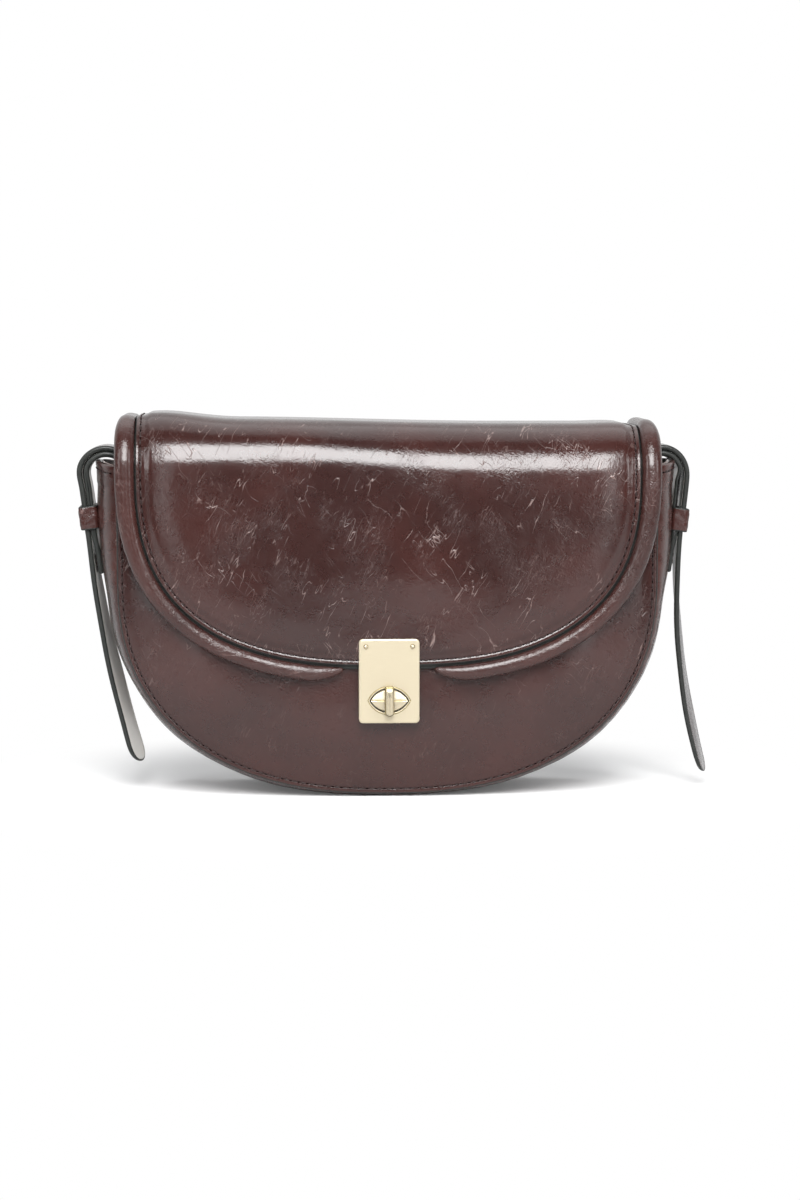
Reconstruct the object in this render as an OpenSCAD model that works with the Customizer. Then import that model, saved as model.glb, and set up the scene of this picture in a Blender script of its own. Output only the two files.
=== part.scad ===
// Half-moon saddle handbag: a flap folds over the mouth and is held by a turn lock, and the shoulder strap
// comes over both gusset tops, with its two belt ends hanging outside through leather keepers.
// X runs along the bag, Y from front to back, Z up. The origin is on the floor, in the middle of the base.

/* [Bag body] */
// Width across the front and back panels
bag_w = 233; // [200:1:260]
// Distance between the outer faces of the two panels
bag_d = 62; // [52:1:76]
// Height of the mouth
mouth_z = 143; // [132:1:160]
// Height at which the round belly turns into straight sides
belly_z = 95; // [84:1:106]
// Power of the belly's outline, 2 is an ellipse and more is squarer
belly_power = 2.36; // [2.1:0.02:2.7]
// Height of the panels' lowest edge over the floor
panel_lift = 1.2; // [0.8:0.1:2]

/* [Body layers] */
// Leather of the front and back panels
panel_t = 1.6; // [1.2:0.1:2.2]
// Stiffening board behind each panel
board_t = 2; // [1.8:0.1:3]
// Lining of the front and back walls
lining_t = 1; // [0.6:0.1:1.4]
// Leather of the gusset
gusset_t = 1.6; // [1.2:0.1:2]
// Lining of the gusset
gusset_lining_t = 0.8; // [0.5:0.1:1.2]
// Width of the gusset's turned-in seam flange
flange_w = 6; // [4:0.5:8]
// Thickness of the skived seam flange
flange_t = 1.2; // [0.8:0.1:1.6]
// Outward bulge of the gusset at the floor
bulge_floor = 2.6; // [2:0.1:4]
// What the bulge gains up the side
bulge_side = 3.4; // [2:0.1:5]
// What the bulge gains near the mouth
bulge_mouth = 4; // [2:0.1:6]

/* [Flap] */
// Width of the flap's upper panel
flap_w = 216.6; // [190:0.2:240]
// Length of the flap from its front fold to its lowest edge
flap_drop = 84.5; // [76:0.5:92]
// Power of the flap's outline
flap_power = 2.62; // [2.2:0.02:3]
// Height of the rear fold over the mouth
hinge_rise = 5; // [4.5:0.1:8]
// Drop of the front fold below the mouth
fold_drop = 1; // [0:0.1:3]
// Radius of the rear bend, along the middle of the roll
rear_bend_r = 14; // [11:0.5:18]
// Distance of the roll's middle in front of the front panel
flap_stand = 4.4; // [4.3:0.1:6]
// Leather of the upper panel
flap_panel_t = 1.8; // [1.4:0.1:2]
// Leather of the base layer
flap_base_t = 1.4; // [1:0.1:1.6]
// Lining of the flap
flap_lining_t = 0.8; // [0.5:0.1:1]
// How far the upper panel's face stands out from the roll's middle
flap_face = 0.4; // [0:0.1:1]

/* [Padded roll] */
// Radius of the roll at the sides
roll_r = 4; // [3.4:0.1:4.2]
// Radius of the roll along the flap's lower edge
roll_low_r = 3.5; // [2.8:0.1:4]
// Radius of the roll's tip beside the lock plate
roll_tip_r = 1.4; // [1.2:0.1:2]
// Leather wall of the roll
roll_wall = 1.1; // [0.8:0.1:1.4]
// Gap between the panel's painted edge and the roll
roll_gap = 0.3; // [0.2:0.05:0.6]
// Distance of the roll's tip from the bag's middle
roll_tip_x = 19; // [16:0.5:30]
// Distance of the roll's rear end from the rear fold, along the bend
roll_rear_gap = 8; // [7.5:0.5:12]

/* [Lock] */
// Width of the lock plate
plate_w = 26; // [22:0.5:32]
// Height of the lock plate
plate_h = 36.3; // [34:0.1:42]
// How far the plate laps up over the flap
plate_lap = 11.9; // [10:0.1:14]
// How far the plate stands out from the flap's face
plate_stand = 2.2; // [1.8:0.1:3]
// Sheet of the plate's face and rim
plate_sheet = 1.2; // [0.8:0.1:1.5]
// Corner radius of the plate
plate_corner_r = 1.8; // [1:0.1:3]
// Height of the oval's middle over the plate's lower edge
oval_rise = 9.8; // [8:0.1:12]
// Width of the oval hole
oval_w = 16.8; // [14:0.1:19]
// Height of the oval hole
oval_h = 10.6; // [9:0.1:12]
// Gap around the boss in the oval hole
oval_gap = 0.4; // [0.3:0.05:0.8]
// How far the boss stands out from the plate
boss_proud = 0.8; // [0.4:0.1:1.5]
// Length of the turn knob's bar
knob_l = 13; // [12:0.5:14.5]
// Width of the bar
knob_w = 4; // [3.4:0.1:5]
// Thickness of the bar
knob_t = 4; // [3:0.1:5]
// Radius of the knob's shaft
shaft_r = 1.5; // [1.2:0.1:1.8]
// Radius of the two domed pins' shanks
pin_r = 0.7; // [0.5:0.05:0.9]
// Distance between the two pins
pin_spacing = 20; // [17:0.5:22]

/* [Shoulder strap] */
// Width of the strap and its tabs
strap_w = 18; // [14:0.5:20]
// Thickness of the strap and its tabs
strap_t = 2.4; // [2:0.1:2.8]
// Gap between two straps that lie on each other
strap_gap = 0.2; // [0.1:0.05:0.4]
// Inner radius of the bend over the gusset's top
bend_r = 8; // [7:0.5:10]
// Outward lean of the strap below the bend
strap_lean = 6.9; // [4:0.1:9]
// Straight length of the strap below the bend
strap_run = 24; // [22:0.5:30]
// Length of the left belt end below its fold
tail_left_l = 98; // [80:1:104]
// Length of the right belt end below its fold
tail_right_l = 100; // [80:1:104]
// Inward lean at the left end's fold
tail_left_lean = 6; // [4:0.5:9]
// Inward lean at the left end's tip
tail_left_tip_lean = 16; // [10:0.5:18]
// Inward lean at the right end's fold
tail_right_lean = 8; // [5:0.5:9]
// Inward lean at the right end's tip, negative is outward
tail_right_tip_lean = -18; // [-24:0.5:-5]
// Twist of both belt ends at their tips
tail_twist = 20; // [0:1:25]
// Length of a keeper along the strap
keeper_l = 10.3; // [8:0.1:12]
// Leather of a keeper
keeper_t = 1.2; // [0.8:0.1:1.6]
// Distance of the keeper's lower edge from the strap's fold
keeper_rise = 3; // [2.5:0.1:4]
// Radius of the buckle's wire
wire_r = 1.25; // [1:0.05:1.5]
// Distance between the buckle's two cross bars
buckle_l = 19.6; // [17:0.2:22]

/* [Thread] */
// Distance of the seams from the painted edges
seam_inset = 2.3; // [1.8:0.1:3]
// Width of a row of thread
thread_w = 0.8; // [0.5:0.05:1]
// Height of a row of thread over the leather
thread_h = 0.35; // [0.2:0.05:0.4]

/* [Hidden] */

// Counts and clearances
outline_steps = 72;
gusset_steps = 44;
side_steps = 4;
web_steps = 14;
roll_steps = 34;
roll_sides = 12;
head_steps = 4;
bend_steps = 24;
tail_steps = 22;
round_fn = 48;
overrun = 1;
layer_gap = 0.1;
lining_gap = 0.25;
fold_gap = 0.3;
run_gap = 0.05;
bulge_power = 0.8;
tip_share = 0.02;
fold_round_from = -75;
fold_round_step = 15;

// Body
half_w = bag_w / 2;
half_d = bag_d / 2;
belly_drop = belly_z - panel_lift;
board_y = half_d - panel_t;
lining_y = board_y - board_t;
cavity_y = lining_y - lining_t;
board_inset = flange_w + fold_gap;
lining_inset = gusset_t + layer_gap;
board_top_inset = 3;
hinge_z = mouth_z + hinge_rise;
fold_z = mouth_z - fold_drop;
nest_r = roll_r + fold_gap;
back_top_z = hinge_z - nest_r;

// Flap, whose layers are measured from the middle line of the roll, positive outwards
half_flap = flap_w / 2;
top_z = hinge_z + rear_bend_r;
front_bend_r = top_z - fold_z;
hinge_y = half_d - flap_face;
fold_y = -half_d - flap_stand;
rear_bend_y = hinge_y - rear_bend_r;
front_bend_y = fold_y + front_bend_r;
panel_in = flap_face - flap_panel_t;
base_in = panel_in - flap_base_t;
flap_lining_in = base_in - flap_lining_t;
roll_x = half_flap + roll_gap + roll_r;
front_bend_end = 180 - asin(nest_r / front_bend_r);
roll_rear_angle = roll_rear_gap / rear_bend_r * 180 / PI;
bore_r = roll_r - roll_wall;

// Lock
flap_low_z = fold_z - flap_drop;
plate_top_z = flap_low_z + plate_lap;
plate_low_z = plate_top_z - plate_h;
lock_z = plate_low_z + oval_rise;
flap_front_y = fold_y - flap_face;
plate_front_y = flap_front_y - plate_stand;
back_plate_y = fold_y - base_in;
back_plate_t = flap_lining_t;
back_plate_inset = 0.8;
flange_out = 3;
flange_thick = 0.8;
flange_proud = 0.1;
flange_y = -half_d - flange_proud;
boss_w = oval_w - 2 * oval_gap;
boss_h = oval_h - 2 * oval_gap;
boss_y = plate_front_y - boss_proud;
knob_gap = 0.3;
knob_y = boss_y - knob_gap;
shaft_clear = 0.4;
post_r = 0.9;
post_x = (boss_w + flange_out) / 2;
pocket_floor_share = 0.2;
pocket_floor_y = -board_y + pocket_floor_share * board_t;
washer_t = 0.7;
washer_w = boss_w + 2 * flange_out;
washer_h = boss_h + 2 * flange_out;
washer_y = pocket_floor_y + washer_t;
clip_t = 0.5;
clip_y = washer_y + run_gap + clip_t;
clip_r = 2.8;
groove_share = 0.75;
groove_r = groove_share * shaft_r;
shaft_end_y = -lining_y - run_gap;
pin_dome_share = 1.6;
pin_dome_r = pin_dome_share * pin_r;
pin_inset = 3.2;
pin_z = plate_top_z - pin_inset;

// Strap, drawn in outward distance and height, the same on both sides
mouth_bulge = bulge_floor + bulge_side + bulge_mouth;
gusset_top_x = half_w + mouth_bulge;
bend_inset = 4.6;
bend_drop = 4.5;
bend_x = gusset_top_x - bend_inset;
bend_z = mouth_z - bend_drop;
tab_r = bend_r + strap_t / 2;
strap_r = tab_r + strap_t + strap_gap;
fold_stand = strap_t / 2 + fold_gap;
tail_fold = line_point(strap_r, strap_run + fold_stand);
loop_t = 1.6;
loop_bore_r = wire_r + layer_gap;
loop_r = loop_bore_r + loop_t;
pivot_drop = 14.5;
pivot_shift = 2.2;
pivot = [bend_x - tab_r + pivot_shift, bend_z - pivot_drop];
far_bar_x = bend_x - strap_r;
far_bar = [far_bar_x, pivot[1] - sqrt(buckle_l * buckle_l - pow(pivot[0] - far_bar_x, 2))];
buckle_half_w = strap_w / 2 + 2 * wire_r;
corner_share = 1.5;
strap_inset = 6;
strap_level_z = belly_z - 3;
strap_pass_x = far_bar[0] + wire_r + strap_gap + strap_t / 2;
slot_half = 1.6;
prong_w = 2;
prong_t = 1.6;
tab_low_z = belly_z + 2;
tab_seat_l = 6;
tab_leave_z = tab_low_z + tab_seat_l;
keeper_gap = 0.3;
stack_t = 2 * strap_t + strap_gap;
stack_r = (tab_r + strap_r) / 2;

// Colours
leather = [0.27, 0.16, 0.15];
edge_leather = [0.33, 0.2, 0.19];
lining_leather = [0.42, 0.3, 0.27];
board_grey = [0.55, 0.52, 0.48];
thread_brown = [0.2, 0.12, 0.11];
gold = [0.9, 0.85, 0.72];
steel = [0.7, 0.7, 0.7];
cord_white = [0.85, 0.83, 0.78];

// Signed power, for squared-off ellipses
function spow(v, p) = sign(v) * pow(abs(v), p);

// Bulge of the gusset at the height z, in its middle
function bulge_at(z) = bulge_floor + bulge_side * sqrt(z / mouth_z) + bulge_mouth * pow(z / mouth_z, 4);

// A station round the body: the shares of width and drop that it follows, and the height that it starts from
stations = concat(
    [for (i = [0 : side_steps - 1]) [-1, 0, mouth_z + (belly_z - mouth_z) * i / side_steps]],
    [for (i = [0 : gusset_steps])
        let (t = 180 + 180 * i / gusset_steps)
        [spow(cos(t), 2 / belly_power), -spow(sin(t), 2 / belly_power), belly_z]],
    [for (i = [side_steps - 1 : -1 : 0]) [1, 0, mouth_z + (belly_z - mouth_z) * i / side_steps]]);

// The point of a station that lies the distance n outside the panels' outline
function station_point(st, n) = [(half_w + n) * st[0], st[2] - (belly_drop + n) * st[1]];

// Outline of the body, moved in by inset, up to the height top
function body_outline(inset, top) = concat(
    [[-half_w + inset, top]],
    [for (i = [0 : outline_steps])
        let (t = 180 + 180 * i / outline_steps)
        [(half_w - inset) * spow(cos(t), 2 / belly_power),
         belly_z + (belly_drop - inset) * spow(sin(t), 2 / belly_power)]],
    [[half_w - inset, top]]);

// Outline of the flap below its front fold, moved in by inset
function flap_outline(inset) = [for (i = [0 : outline_steps])
    let (t = 180 + 180 * i / outline_steps)
    [(half_flap - inset) * spow(cos(t), 2 / flap_power),
     fold_z + (flap_drop - inset) * spow(sin(t), 2 / flap_power)]];

// Outward direction of the flap's outline at the angle t
function flap_normal(t) =
    let (v = [spow(cos(t), 2 - 2 / flap_power) / half_flap, spow(sin(t), 2 - 2 / flap_power) / flap_drop])
    v / norm(v);

// Triangles of a ring's cap, laid in a strip from one half of the ring to the other
function cap_faces(base, sides, flip) = [for (j = [0 : sides / 2 - 2], half = [0, 1])
    let (a = base + j, c = base + sides - 2 - j, b = half == 0 ? a + 1 : c + 1)
    (half == 0) == flip ? [c, b, a] : [a, b, c]];

// Triangles of a skin over rings of points, closed at both ends
function skin_faces(rings, sides) = concat(
    cap_faces(0, sides, true),
    [for (i = [0 : rings - 2], j = [0 : sides - 1], half = [0, 1])
        let (a = i * sides + j, b = i * sides + (j + 1) % sides)
        half == 0 ? [a, b, a + sides] : [b, b + sides, a + sides]],
    cap_faces((rings - 1) * sides, sides, false));

module skin(rings) {
    polyhedron([for (r = rings) each r], skin_faces(len(rings), len(rings[0])), convexity = 8);
}

// A flat piece whose outline is drawn in X and Z, from y_back forward by t
module slab(y_back, t) {
    translate([0, y_back, 0]) rotate([90, 0, 0]) linear_extrude(height = t) children();
}

// A round bar along Y through a point of the side drawing
module cross_bar(p, r, l) {
    translate([p[0], l / 2, p[1]]) rotate([90, 0, 0]) cylinder(r = r, h = l, $fn = round_fn);
}

// A rod or hole along Y at x and z, between two Y values
module rod(x, z, r, y_front, y_back) {
    slab(y_back, y_back - y_front) translate([x, z]) circle(r = r, $fn = round_fn);
}

module oval(w, h) {
    square([w - h, h], center = true);
    for (s = [-1, 1]) translate([s * (w - h) / 2, 0]) circle(d = h, $fn = round_fn);
}

// The pointed oval that two arcs make, one over the other
module eye(w, h) {
    r = (w * w + h * h) / (4 * h);
    intersection_for(s = [-1, 1]) translate([0, s * (r - h / 2)]) circle(r = r, $fn = 2 * round_fn);
}

module rounded_rect(w, h, r) {
    square([w - 2 * r, h], center = true);
    square([w, h - 2 * r], center = true);
    for (sx = [-1, 1], sy = [-1, 1]) {
        translate([sx * (w / 2 - r), sy * (h / 2 - r)]) circle(r = r, $fn = round_fn);
    }
}

module on_side(side) {
    if (side > 0) children();
    else mirror([1, 0, 0]) children();
}

// Body walls
module wall_ring(inset, w, y_back, t, top) {
    slab(y_back, t) difference() {
        polygon(body_outline(inset, top));
        polygon(body_outline(inset + w, top + overrun));
    }
}

module front_panel() {
    color(leather) difference() {
        slab(-board_y, panel_t) polygon(body_outline(0, mouth_z));
        slab(-half_d + flange_thick - flange_proud, flange_thick) translate([0, lock_z])
            eye(washer_w + 2 * layer_gap, washer_h + 2 * layer_gap);
        rod(0, lock_z, shaft_r + shaft_clear, -half_d - overrun, -board_y + overrun);
        for (s = [-1, 1]) rod(s * post_x, lock_z, post_r + layer_gap, -half_d - overrun, -board_y + overrun);
    }
}

module front_board() {
    color(board_grey) difference() {
        slab(-lining_y, board_t) polygon(body_outline(board_inset, mouth_z - board_top_inset));
        slab(-lining_y + overrun, -lining_y + overrun - pocket_floor_y) translate([0, lock_z])
            rounded_rect(washer_w + 2 * fold_gap, washer_h + 2 * fold_gap, plate_corner_r);
        rod(0, lock_z, shaft_r + shaft_clear, -board_y - overrun, -lining_y);
        for (s = [-1, 1]) rod(s * post_x, lock_z, post_r + layer_gap, -board_y - overrun, -lining_y);
    }
}

module front_lining() {
    color(lining_leather) slab(-cavity_y, lining_t) polygon(body_outline(lining_inset, mouth_z));
}

module back_panel() {
    color(leather) slab(half_d, panel_t) polygon(body_outline(0, back_top_z));
}

module back_board() {
    color(board_grey) slab(board_y, board_t) polygon(body_outline(board_inset, back_top_z - board_top_inset));
}

module back_lining() {
    color(lining_leather) slab(lining_y, lining_t) polygon(body_outline(lining_inset, back_top_z));
}

module front_stitching() {
    color(thread_brown) wall_ring(seam_inset, thread_w, -half_d, thread_h, mouth_z);
}

module back_stitching() {
    color(thread_brown) wall_ring(seam_inset, thread_w, half_d + thread_h, thread_h, back_top_z);
}

// Gusset section at a station: how far each point lies outside the outline, its depth, and its least height
function web_bulge(y, half) = pow(max(0, 1 - pow(y / half, 2)), bulge_power);

function web(st, half, inner, least) =
    let (b = bulge_at(station_point(st, 0)[1]))
    [for (k = [0 : web_steps])
        let (y = half * (2 * k / web_steps - 1))
        [b * web_bulge(y, board_y) - inner, y, least]];

function reversed(list) = [for (i = [len(list) - 1 : -1 : 0]) list[i]];

function gusset_section(st) =
    let (y_in = board_y - flange_t)
    concat([[-flange_w, -board_y, 0]],
           web(st, board_y, 0, 0),
           [[-flange_w, board_y, 0], [-flange_w, y_in, 0]],
           reversed(web(st, y_in, gusset_t, gusset_t)),
           [[-flange_w, -y_in, 0]]);

function lining_section(st) =
    let (y_edge = cavity_y - layer_gap, out = gusset_t + lining_gap, inn = out + gusset_lining_t)
    concat(web(st, y_edge, out, out), reversed(web(st, y_edge, inn, inn)));

function section_ring(st, section) = [for (q = section)
    let (p = station_point(st, q[0]))
    [p[0], q[1], max(q[2], p[1])]];

module gusset() {
    color(leather) skin([for (st = stations) section_ring(st, gusset_section(st))]);
}

module gusset_lining() {
    color(lining_leather) skin([for (st = stations) section_ring(st, lining_section(st))]);
}

// Turn lock on the front wall
module lock_base() {
    color(gold) difference() {
        union() {
            slab(flange_y + flange_thick, flange_thick) translate([0, lock_z]) eye(washer_w, washer_h);
            slab(flange_y, flange_y - boss_y) translate([0, lock_z]) eye(boss_w, boss_h);
            for (s = [-1, 1]) rod(s * post_x, lock_z, post_r, flange_y, washer_y);
        }
        rod(0, lock_z, shaft_r + run_gap, boss_y - overrun, -board_y);
    }
}

module lock_washer() {
    color(steel) difference() {
        slab(washer_y, washer_t) translate([0, lock_z]) rounded_rect(washer_w, washer_h, plate_corner_r);
        rod(0, lock_z, shaft_r + run_gap, pocket_floor_y - overrun, washer_y + overrun);
        for (s = [-1, 1]) {
            rod(s * post_x, lock_z, post_r + run_gap, pocket_floor_y - overrun, washer_y + overrun);
        }
    }
}

module turn_knob() {
    color(gold) difference() {
        union() {
            slab(knob_y, knob_t) translate([0, lock_z]) rotate(90) oval(knob_l, knob_w);
            rod(0, lock_z, shaft_r, knob_y, shaft_end_y);
        }
        slab(clip_y, clip_t) translate([0, lock_z]) difference() {
            circle(r = shaft_r + overrun, $fn = round_fn);
            circle(r = groove_r, $fn = round_fn);
        }
    }
}

module knob_clip() {
    color(steel) slab(clip_y - run_gap / 2, clip_t - run_gap) translate([0, lock_z]) difference() {
        circle(r = clip_r, $fn = round_fn);
        circle(r = groove_r + run_gap / 2, $fn = round_fn);
    }
}

// Straps, as a band of even thickness along a line of points in the side drawing
function heading(pts, i) =
    let (a = pts[max(0, i - 1)], b = pts[min(len(pts) - 1, i + 1)], v = b - a)
    v / norm(v);

function side_line(pts, off) = [for (i = [0 : len(pts) - 1])
    let (h = heading(pts, i))
    pts[i] + off * [-h[1], h[0]]];

module band(pts, t, w) {
    translate([0, w / 2, 0]) rotate([90, 0, 0]) linear_extrude(height = w)
        polygon(concat(side_line(pts, t / 2), reversed(side_line(pts, -t / 2))));
}

// A point of a bend line of radius r, and one on its straight run, the distance l below the bend
function bend_point(r, a) = [bend_x + r * cos(a), bend_z + r * sin(a)];
function line_point(r, l) = bend_point(r, -strap_lean) - l * [sin(strap_lean), cos(strap_lean)];
function bend_line(r) = [for (i = [0 : bend_steps])
    bend_point(r, -strap_lean + (180 + strap_lean) * i / bend_steps)];

function gusset_x(z) = half_w + bulge_at(z);

tab_seat_off = strap_t / 2 + layer_gap;
tab_line = concat(
    [[gusset_x(tab_low_z) + tab_seat_off, tab_low_z], [gusset_x(tab_leave_z) + tab_seat_off, tab_leave_z],
     line_point(tab_r, strap_run)],
    bend_line(tab_r), [[bend_x - tab_r, pivot[1]]]);

module tab() {
    color(leather) difference() {
        union() {
            band(tab_line, strap_t, strap_w);
            cross_bar(pivot, loop_r, strap_w);
        }
        cross_bar(pivot, loop_bore_r, strap_w + 2 * overrun);
        translate([pivot[0] - loop_r - overrun, -slot_half, pivot[1] - loop_r - overrun])
            cube([2 * (loop_r + overrun), 2 * slot_half, 2 * loop_r + overrun]);
    }
}

module tab_left() { on_side(-1) tab(); }
module tab_right() { on_side(1) tab(); }

// Box seam that holds a tab's lower end to the gusset
module tab_stitching() {
    rise = gusset_x(tab_leave_z) - gusset_x(tab_low_z);
    color(thread_brown) translate([gusset_x(tab_low_z) + tab_seat_off, 0, tab_low_z])
        rotate([0, atan(rise / tab_seat_l), 0]) translate([strap_t / 2, 0, tab_seat_l / 2])
        rotate([90, 0, 90]) linear_extrude(height = thread_h) difference() {
            square([strap_w - 2 * seam_inset, tab_seat_l - thread_w], center = true);
            square([strap_w - 2 * seam_inset - 2 * thread_w, tab_seat_l - 3 * thread_w], center = true);
        }
}

module tab_stitching_left() { on_side(-1) tab_stitching(); }
module tab_stitching_right() { on_side(1) tab_stitching(); }

// Buckle frame of round wire, inside the mouth
module buckle() {
    span = far_bar - pivot;
    color(gold) {
        for (p = [pivot, far_bar]) cross_bar(p, wire_r, 2 * buckle_half_w);
        for (s = [-1, 1]) {
            translate([pivot[0], s * buckle_half_w, pivot[1]]) rotate([0, atan2(span[0], span[1]), 0])
                cylinder(r = wire_r, h = buckle_l, $fn = round_fn);
            for (p = [pivot, far_bar]) {
                translate([p[0], s * buckle_half_w, p[1]]) sphere(r = corner_share * wire_r, $fn = round_fn);
            }
        }
    }
}

module buckle_left() { on_side(-1) buckle(); }
module buckle_right() { on_side(1) buckle(); }

// Prong that turns on the buckle's bar, goes through the strap and rests on the far bar
prong_rest = far_bar + [-wire_r - strap_gap - prong_t / 2, 0];
prong_span = prong_rest - pivot;
prong_l = norm(prong_span) + 2 * wire_r;
prong_angle = atan2(prong_span[1], prong_span[0]);

module prong() {
    color(gold) difference() {
        union() {
            cross_bar(pivot, wire_r + run_gap + prong_t, prong_w);
            translate([pivot[0], prong_w / 2, pivot[1]]) rotate([90, 0, 0]) rotate(prong_angle)
                linear_extrude(height = prong_w) translate([0, -prong_t / 2]) square([prong_l, prong_t]);
        }
        cross_bar(pivot, wire_r + run_gap, prong_w + 2 * overrun);
    }
}

module prong_left() { on_side(-1) prong(); }
module prong_right() { on_side(1) prong(); }

// Shoulder strap, stowed in the bag: down behind the far bar, round the belly and up the other side
strap_half_line = concat(
    [line_point(strap_r, strap_run)], bend_line(strap_r),
    [[bend_x - strap_r, pivot[1] - loop_r], [strap_pass_x, far_bar[1] + wire_r],
     [strap_pass_x, far_bar[1] - wire_r]],
    [for (i = [0 : outline_steps / 2])
        let (t = -180 * i / outline_steps,
             p = [(half_w - strap_inset) * spow(cos(t), 2 / belly_power),
                  belly_z + (belly_drop - strap_inset) * spow(sin(t), 2 / belly_power)])
        if (p[1] < strap_level_z) p]);

module shoulder_strap() {
    half = len(strap_half_line) - 1;
    other_half = [for (i = [half - 1 : -1 : 0]) [-strap_half_line[i][0], strap_half_line[i][1]]];
    slot_top = pivot[1] - loop_r;
    color(leather) difference() {
        band(concat(strap_half_line, other_half), strap_t, strap_w);
        for (s = [-1, 1]) {
            translate([s * (pivot[0] + far_bar[0]) / 2 - strap_w / 4, -slot_half, far_bar[1] + 2 * wire_r])
                cube([strap_w / 2, 2 * slot_half, slot_top - far_bar[1] - 2 * wire_r]);
        }
    }
}

// Belt end that hangs from its fold, leaning from lean_a to lean_b inwards and turning about its length.
// Its upper end is rounded about the fold, and its tip is rounded across its width.
function tail_ring(length, lean_a, lean_b, twist, s, half_t) =
    let (rate = (lean_b - lean_a) * PI / 180 / length,
         share = max(0, s) / length,
         lean = lean_a + (lean_b - lean_a) * share,
         back = min(0, s),
         u = tail_fold[0] + (cos(lean) - cos(lean_a)) / rate - back * sin(lean_a),
         z = tail_fold[1] - (sin(lean) - sin(lean_a)) / rate - back * cos(lean_a),
         past = max(0, s - length + strap_w / 2) / (strap_w / 2),
         half = strap_w / 2 * sqrt(max(tip_share, 1 - past * past)),
         turn = twist * sin(90 * share),
         width_dir = [sin(turn) * cos(lean), cos(turn), sin(turn) * sin(lean)],
         face_dir = [cos(turn) * cos(lean), -sin(turn), cos(turn) * sin(lean)])
    [for (c = [[-1, -1], [1, -1], [1, 1], [-1, 1]])
        [u, 0, z] + c[0] * half * width_dir + c[1] * half_t * face_dir];

module tail(length, lean_a, lean_b, twist) {
    color(leather) skin(concat(
        [for (e = [fold_round_from : fold_round_step : 0])
            tail_ring(length, lean_a, lean_b, twist, strap_t / 2 * sin(e), strap_t / 2 * cos(e))],
        [for (i = [1 : tail_steps])
            tail_ring(length, lean_a, lean_b, twist, length * i / tail_steps, strap_t / 2)]));
}

module tail_left() { on_side(-1) tail(tail_left_l, tail_left_lean, tail_left_tip_lean, -tail_twist); }
module tail_right() { on_side(1) tail(tail_right_l, tail_right_lean, tail_right_tip_lean, tail_twist); }

module keeper() {
    centre = line_point(stack_r, strap_run - keeper_rise + fold_stand - keeper_l / 2);
    inner_t = stack_t + 2 * keeper_gap;
    inner_w = strap_w + 2 * keeper_gap;
    color(edge_leather) translate([centre[0], 0, centre[1]]) rotate([0, strap_lean, 0])
        translate([0, 0, -keeper_l / 2]) linear_extrude(height = keeper_l) difference() {
            rounded_rect(inner_t + 2 * keeper_t, inner_w + 2 * keeper_t, keeper_t);
            square([inner_t, inner_w], center = true);
        }
}

module keeper_left() { on_side(-1) keeper(); }
module keeper_right() { on_side(1) keeper(); }

// Flap top, from the rear fold over both bends to just above the front fold
module bend(x, y, z, r, from, to) {
    translate([x, y, z]) rotate([90, 0, 90])
        rotate_extrude(angle = to - from, start = from, $fn = 2 * round_fn) translate([r, 0]) children();
}

module flap_top_layer(out, inn, w) {
    t = out - inn;
    bend(0, rear_bend_y, hinge_z, rear_bend_r, 0, 90) translate([inn, -w / 2]) square([t, w]);
    bend(0, front_bend_y, fold_z, front_bend_r, 90, front_bend_end) translate([inn, -w / 2]) square([t, w]);
    translate([-w / 2, front_bend_y, top_z + inn]) cube([w, rear_bend_y - front_bend_y, t]);
    intersection() {
        translate([-w / 2, hinge_y + inn, hinge_z - roll_r]) cube([w, t, roll_r]);
        translate([-w / 2, hinge_y, hinge_z]) rotate([0, 90, 0]) cylinder(r = roll_r, h = w, $fn = round_fn);
    }
}

module flap_panel_top() { color(leather) flap_top_layer(flap_face, panel_in, flap_w); }
module flap_base_top() { color(leather) flap_top_layer(panel_in, base_in, flap_w); }
module flap_lining_top() { color(lining_leather) flap_top_layer(base_in, flap_lining_in, flap_w); }

module roll_top_run(side) {
    x = side * roll_x;
    bend(x, rear_bend_y, hinge_z, rear_bend_r, roll_rear_angle, 90) children();
    bend(x, front_bend_y, fold_z, front_bend_r, 90, front_bend_end) children();
    translate([x, rear_bend_y, top_z]) rotate([90, 0, 0])
        linear_extrude(height = rear_bend_y - front_bend_y) children();
}

module flap_roll_top() {
    color(leather) for (side = [-1, 1]) {
        roll_top_run(side) difference() {
            circle(r = roll_r, $fn = round_fn);
            circle(r = bore_r, $fn = round_fn);
        }
    }
}

module flap_cord_top() {
    color(cord_white) for (side = [-1, 1]) roll_top_run(side) circle(r = bore_r - run_gap, $fn = round_fn);
}

module flap_stitching_top() {
    color(thread_brown) for (side = [-1, 1]) {
        x = side * (half_flap - seam_inset - thread_w / 2);
        translate([x, 0, 0]) {
            bend(0, rear_bend_y, hinge_z, rear_bend_r, 0, 90)
                translate([flap_face, -thread_w / 2]) square([thread_h, thread_w]);
            bend(0, front_bend_y, fold_z, front_bend_r, 90, front_bend_end)
                translate([flap_face, -thread_w / 2]) square([thread_h, thread_w]);
            translate([-thread_w / 2, front_bend_y, top_z + flap_face])
                cube([thread_w, rear_bend_y - front_bend_y, thread_h]);
        }
    }
}

// Flap front, which hangs from the front fold
module fold_cap(out, inn, w) {
    intersection() {
        translate([-w / 2, fold_y - out, fold_z]) cube([w, out - inn, roll_r]);
        translate([-w / 2, fold_y, fold_z]) rotate([0, 90, 0]) cylinder(r = roll_r, h = w, $fn = round_fn);
    }
}

module pin_holes() {
    behind_y = back_plate_y + flap_lining_t + overrun;
    for (s = [-1, 1]) rod(s * pin_spacing / 2, pin_z, pin_r + run_gap, flap_front_y - overrun, behind_y);
}

module flap_front_layer(out, inn) {
    slab(fold_y - inn, out - inn) polygon(flap_outline(0));
    fold_cap(out, inn, flap_w);
}

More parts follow.
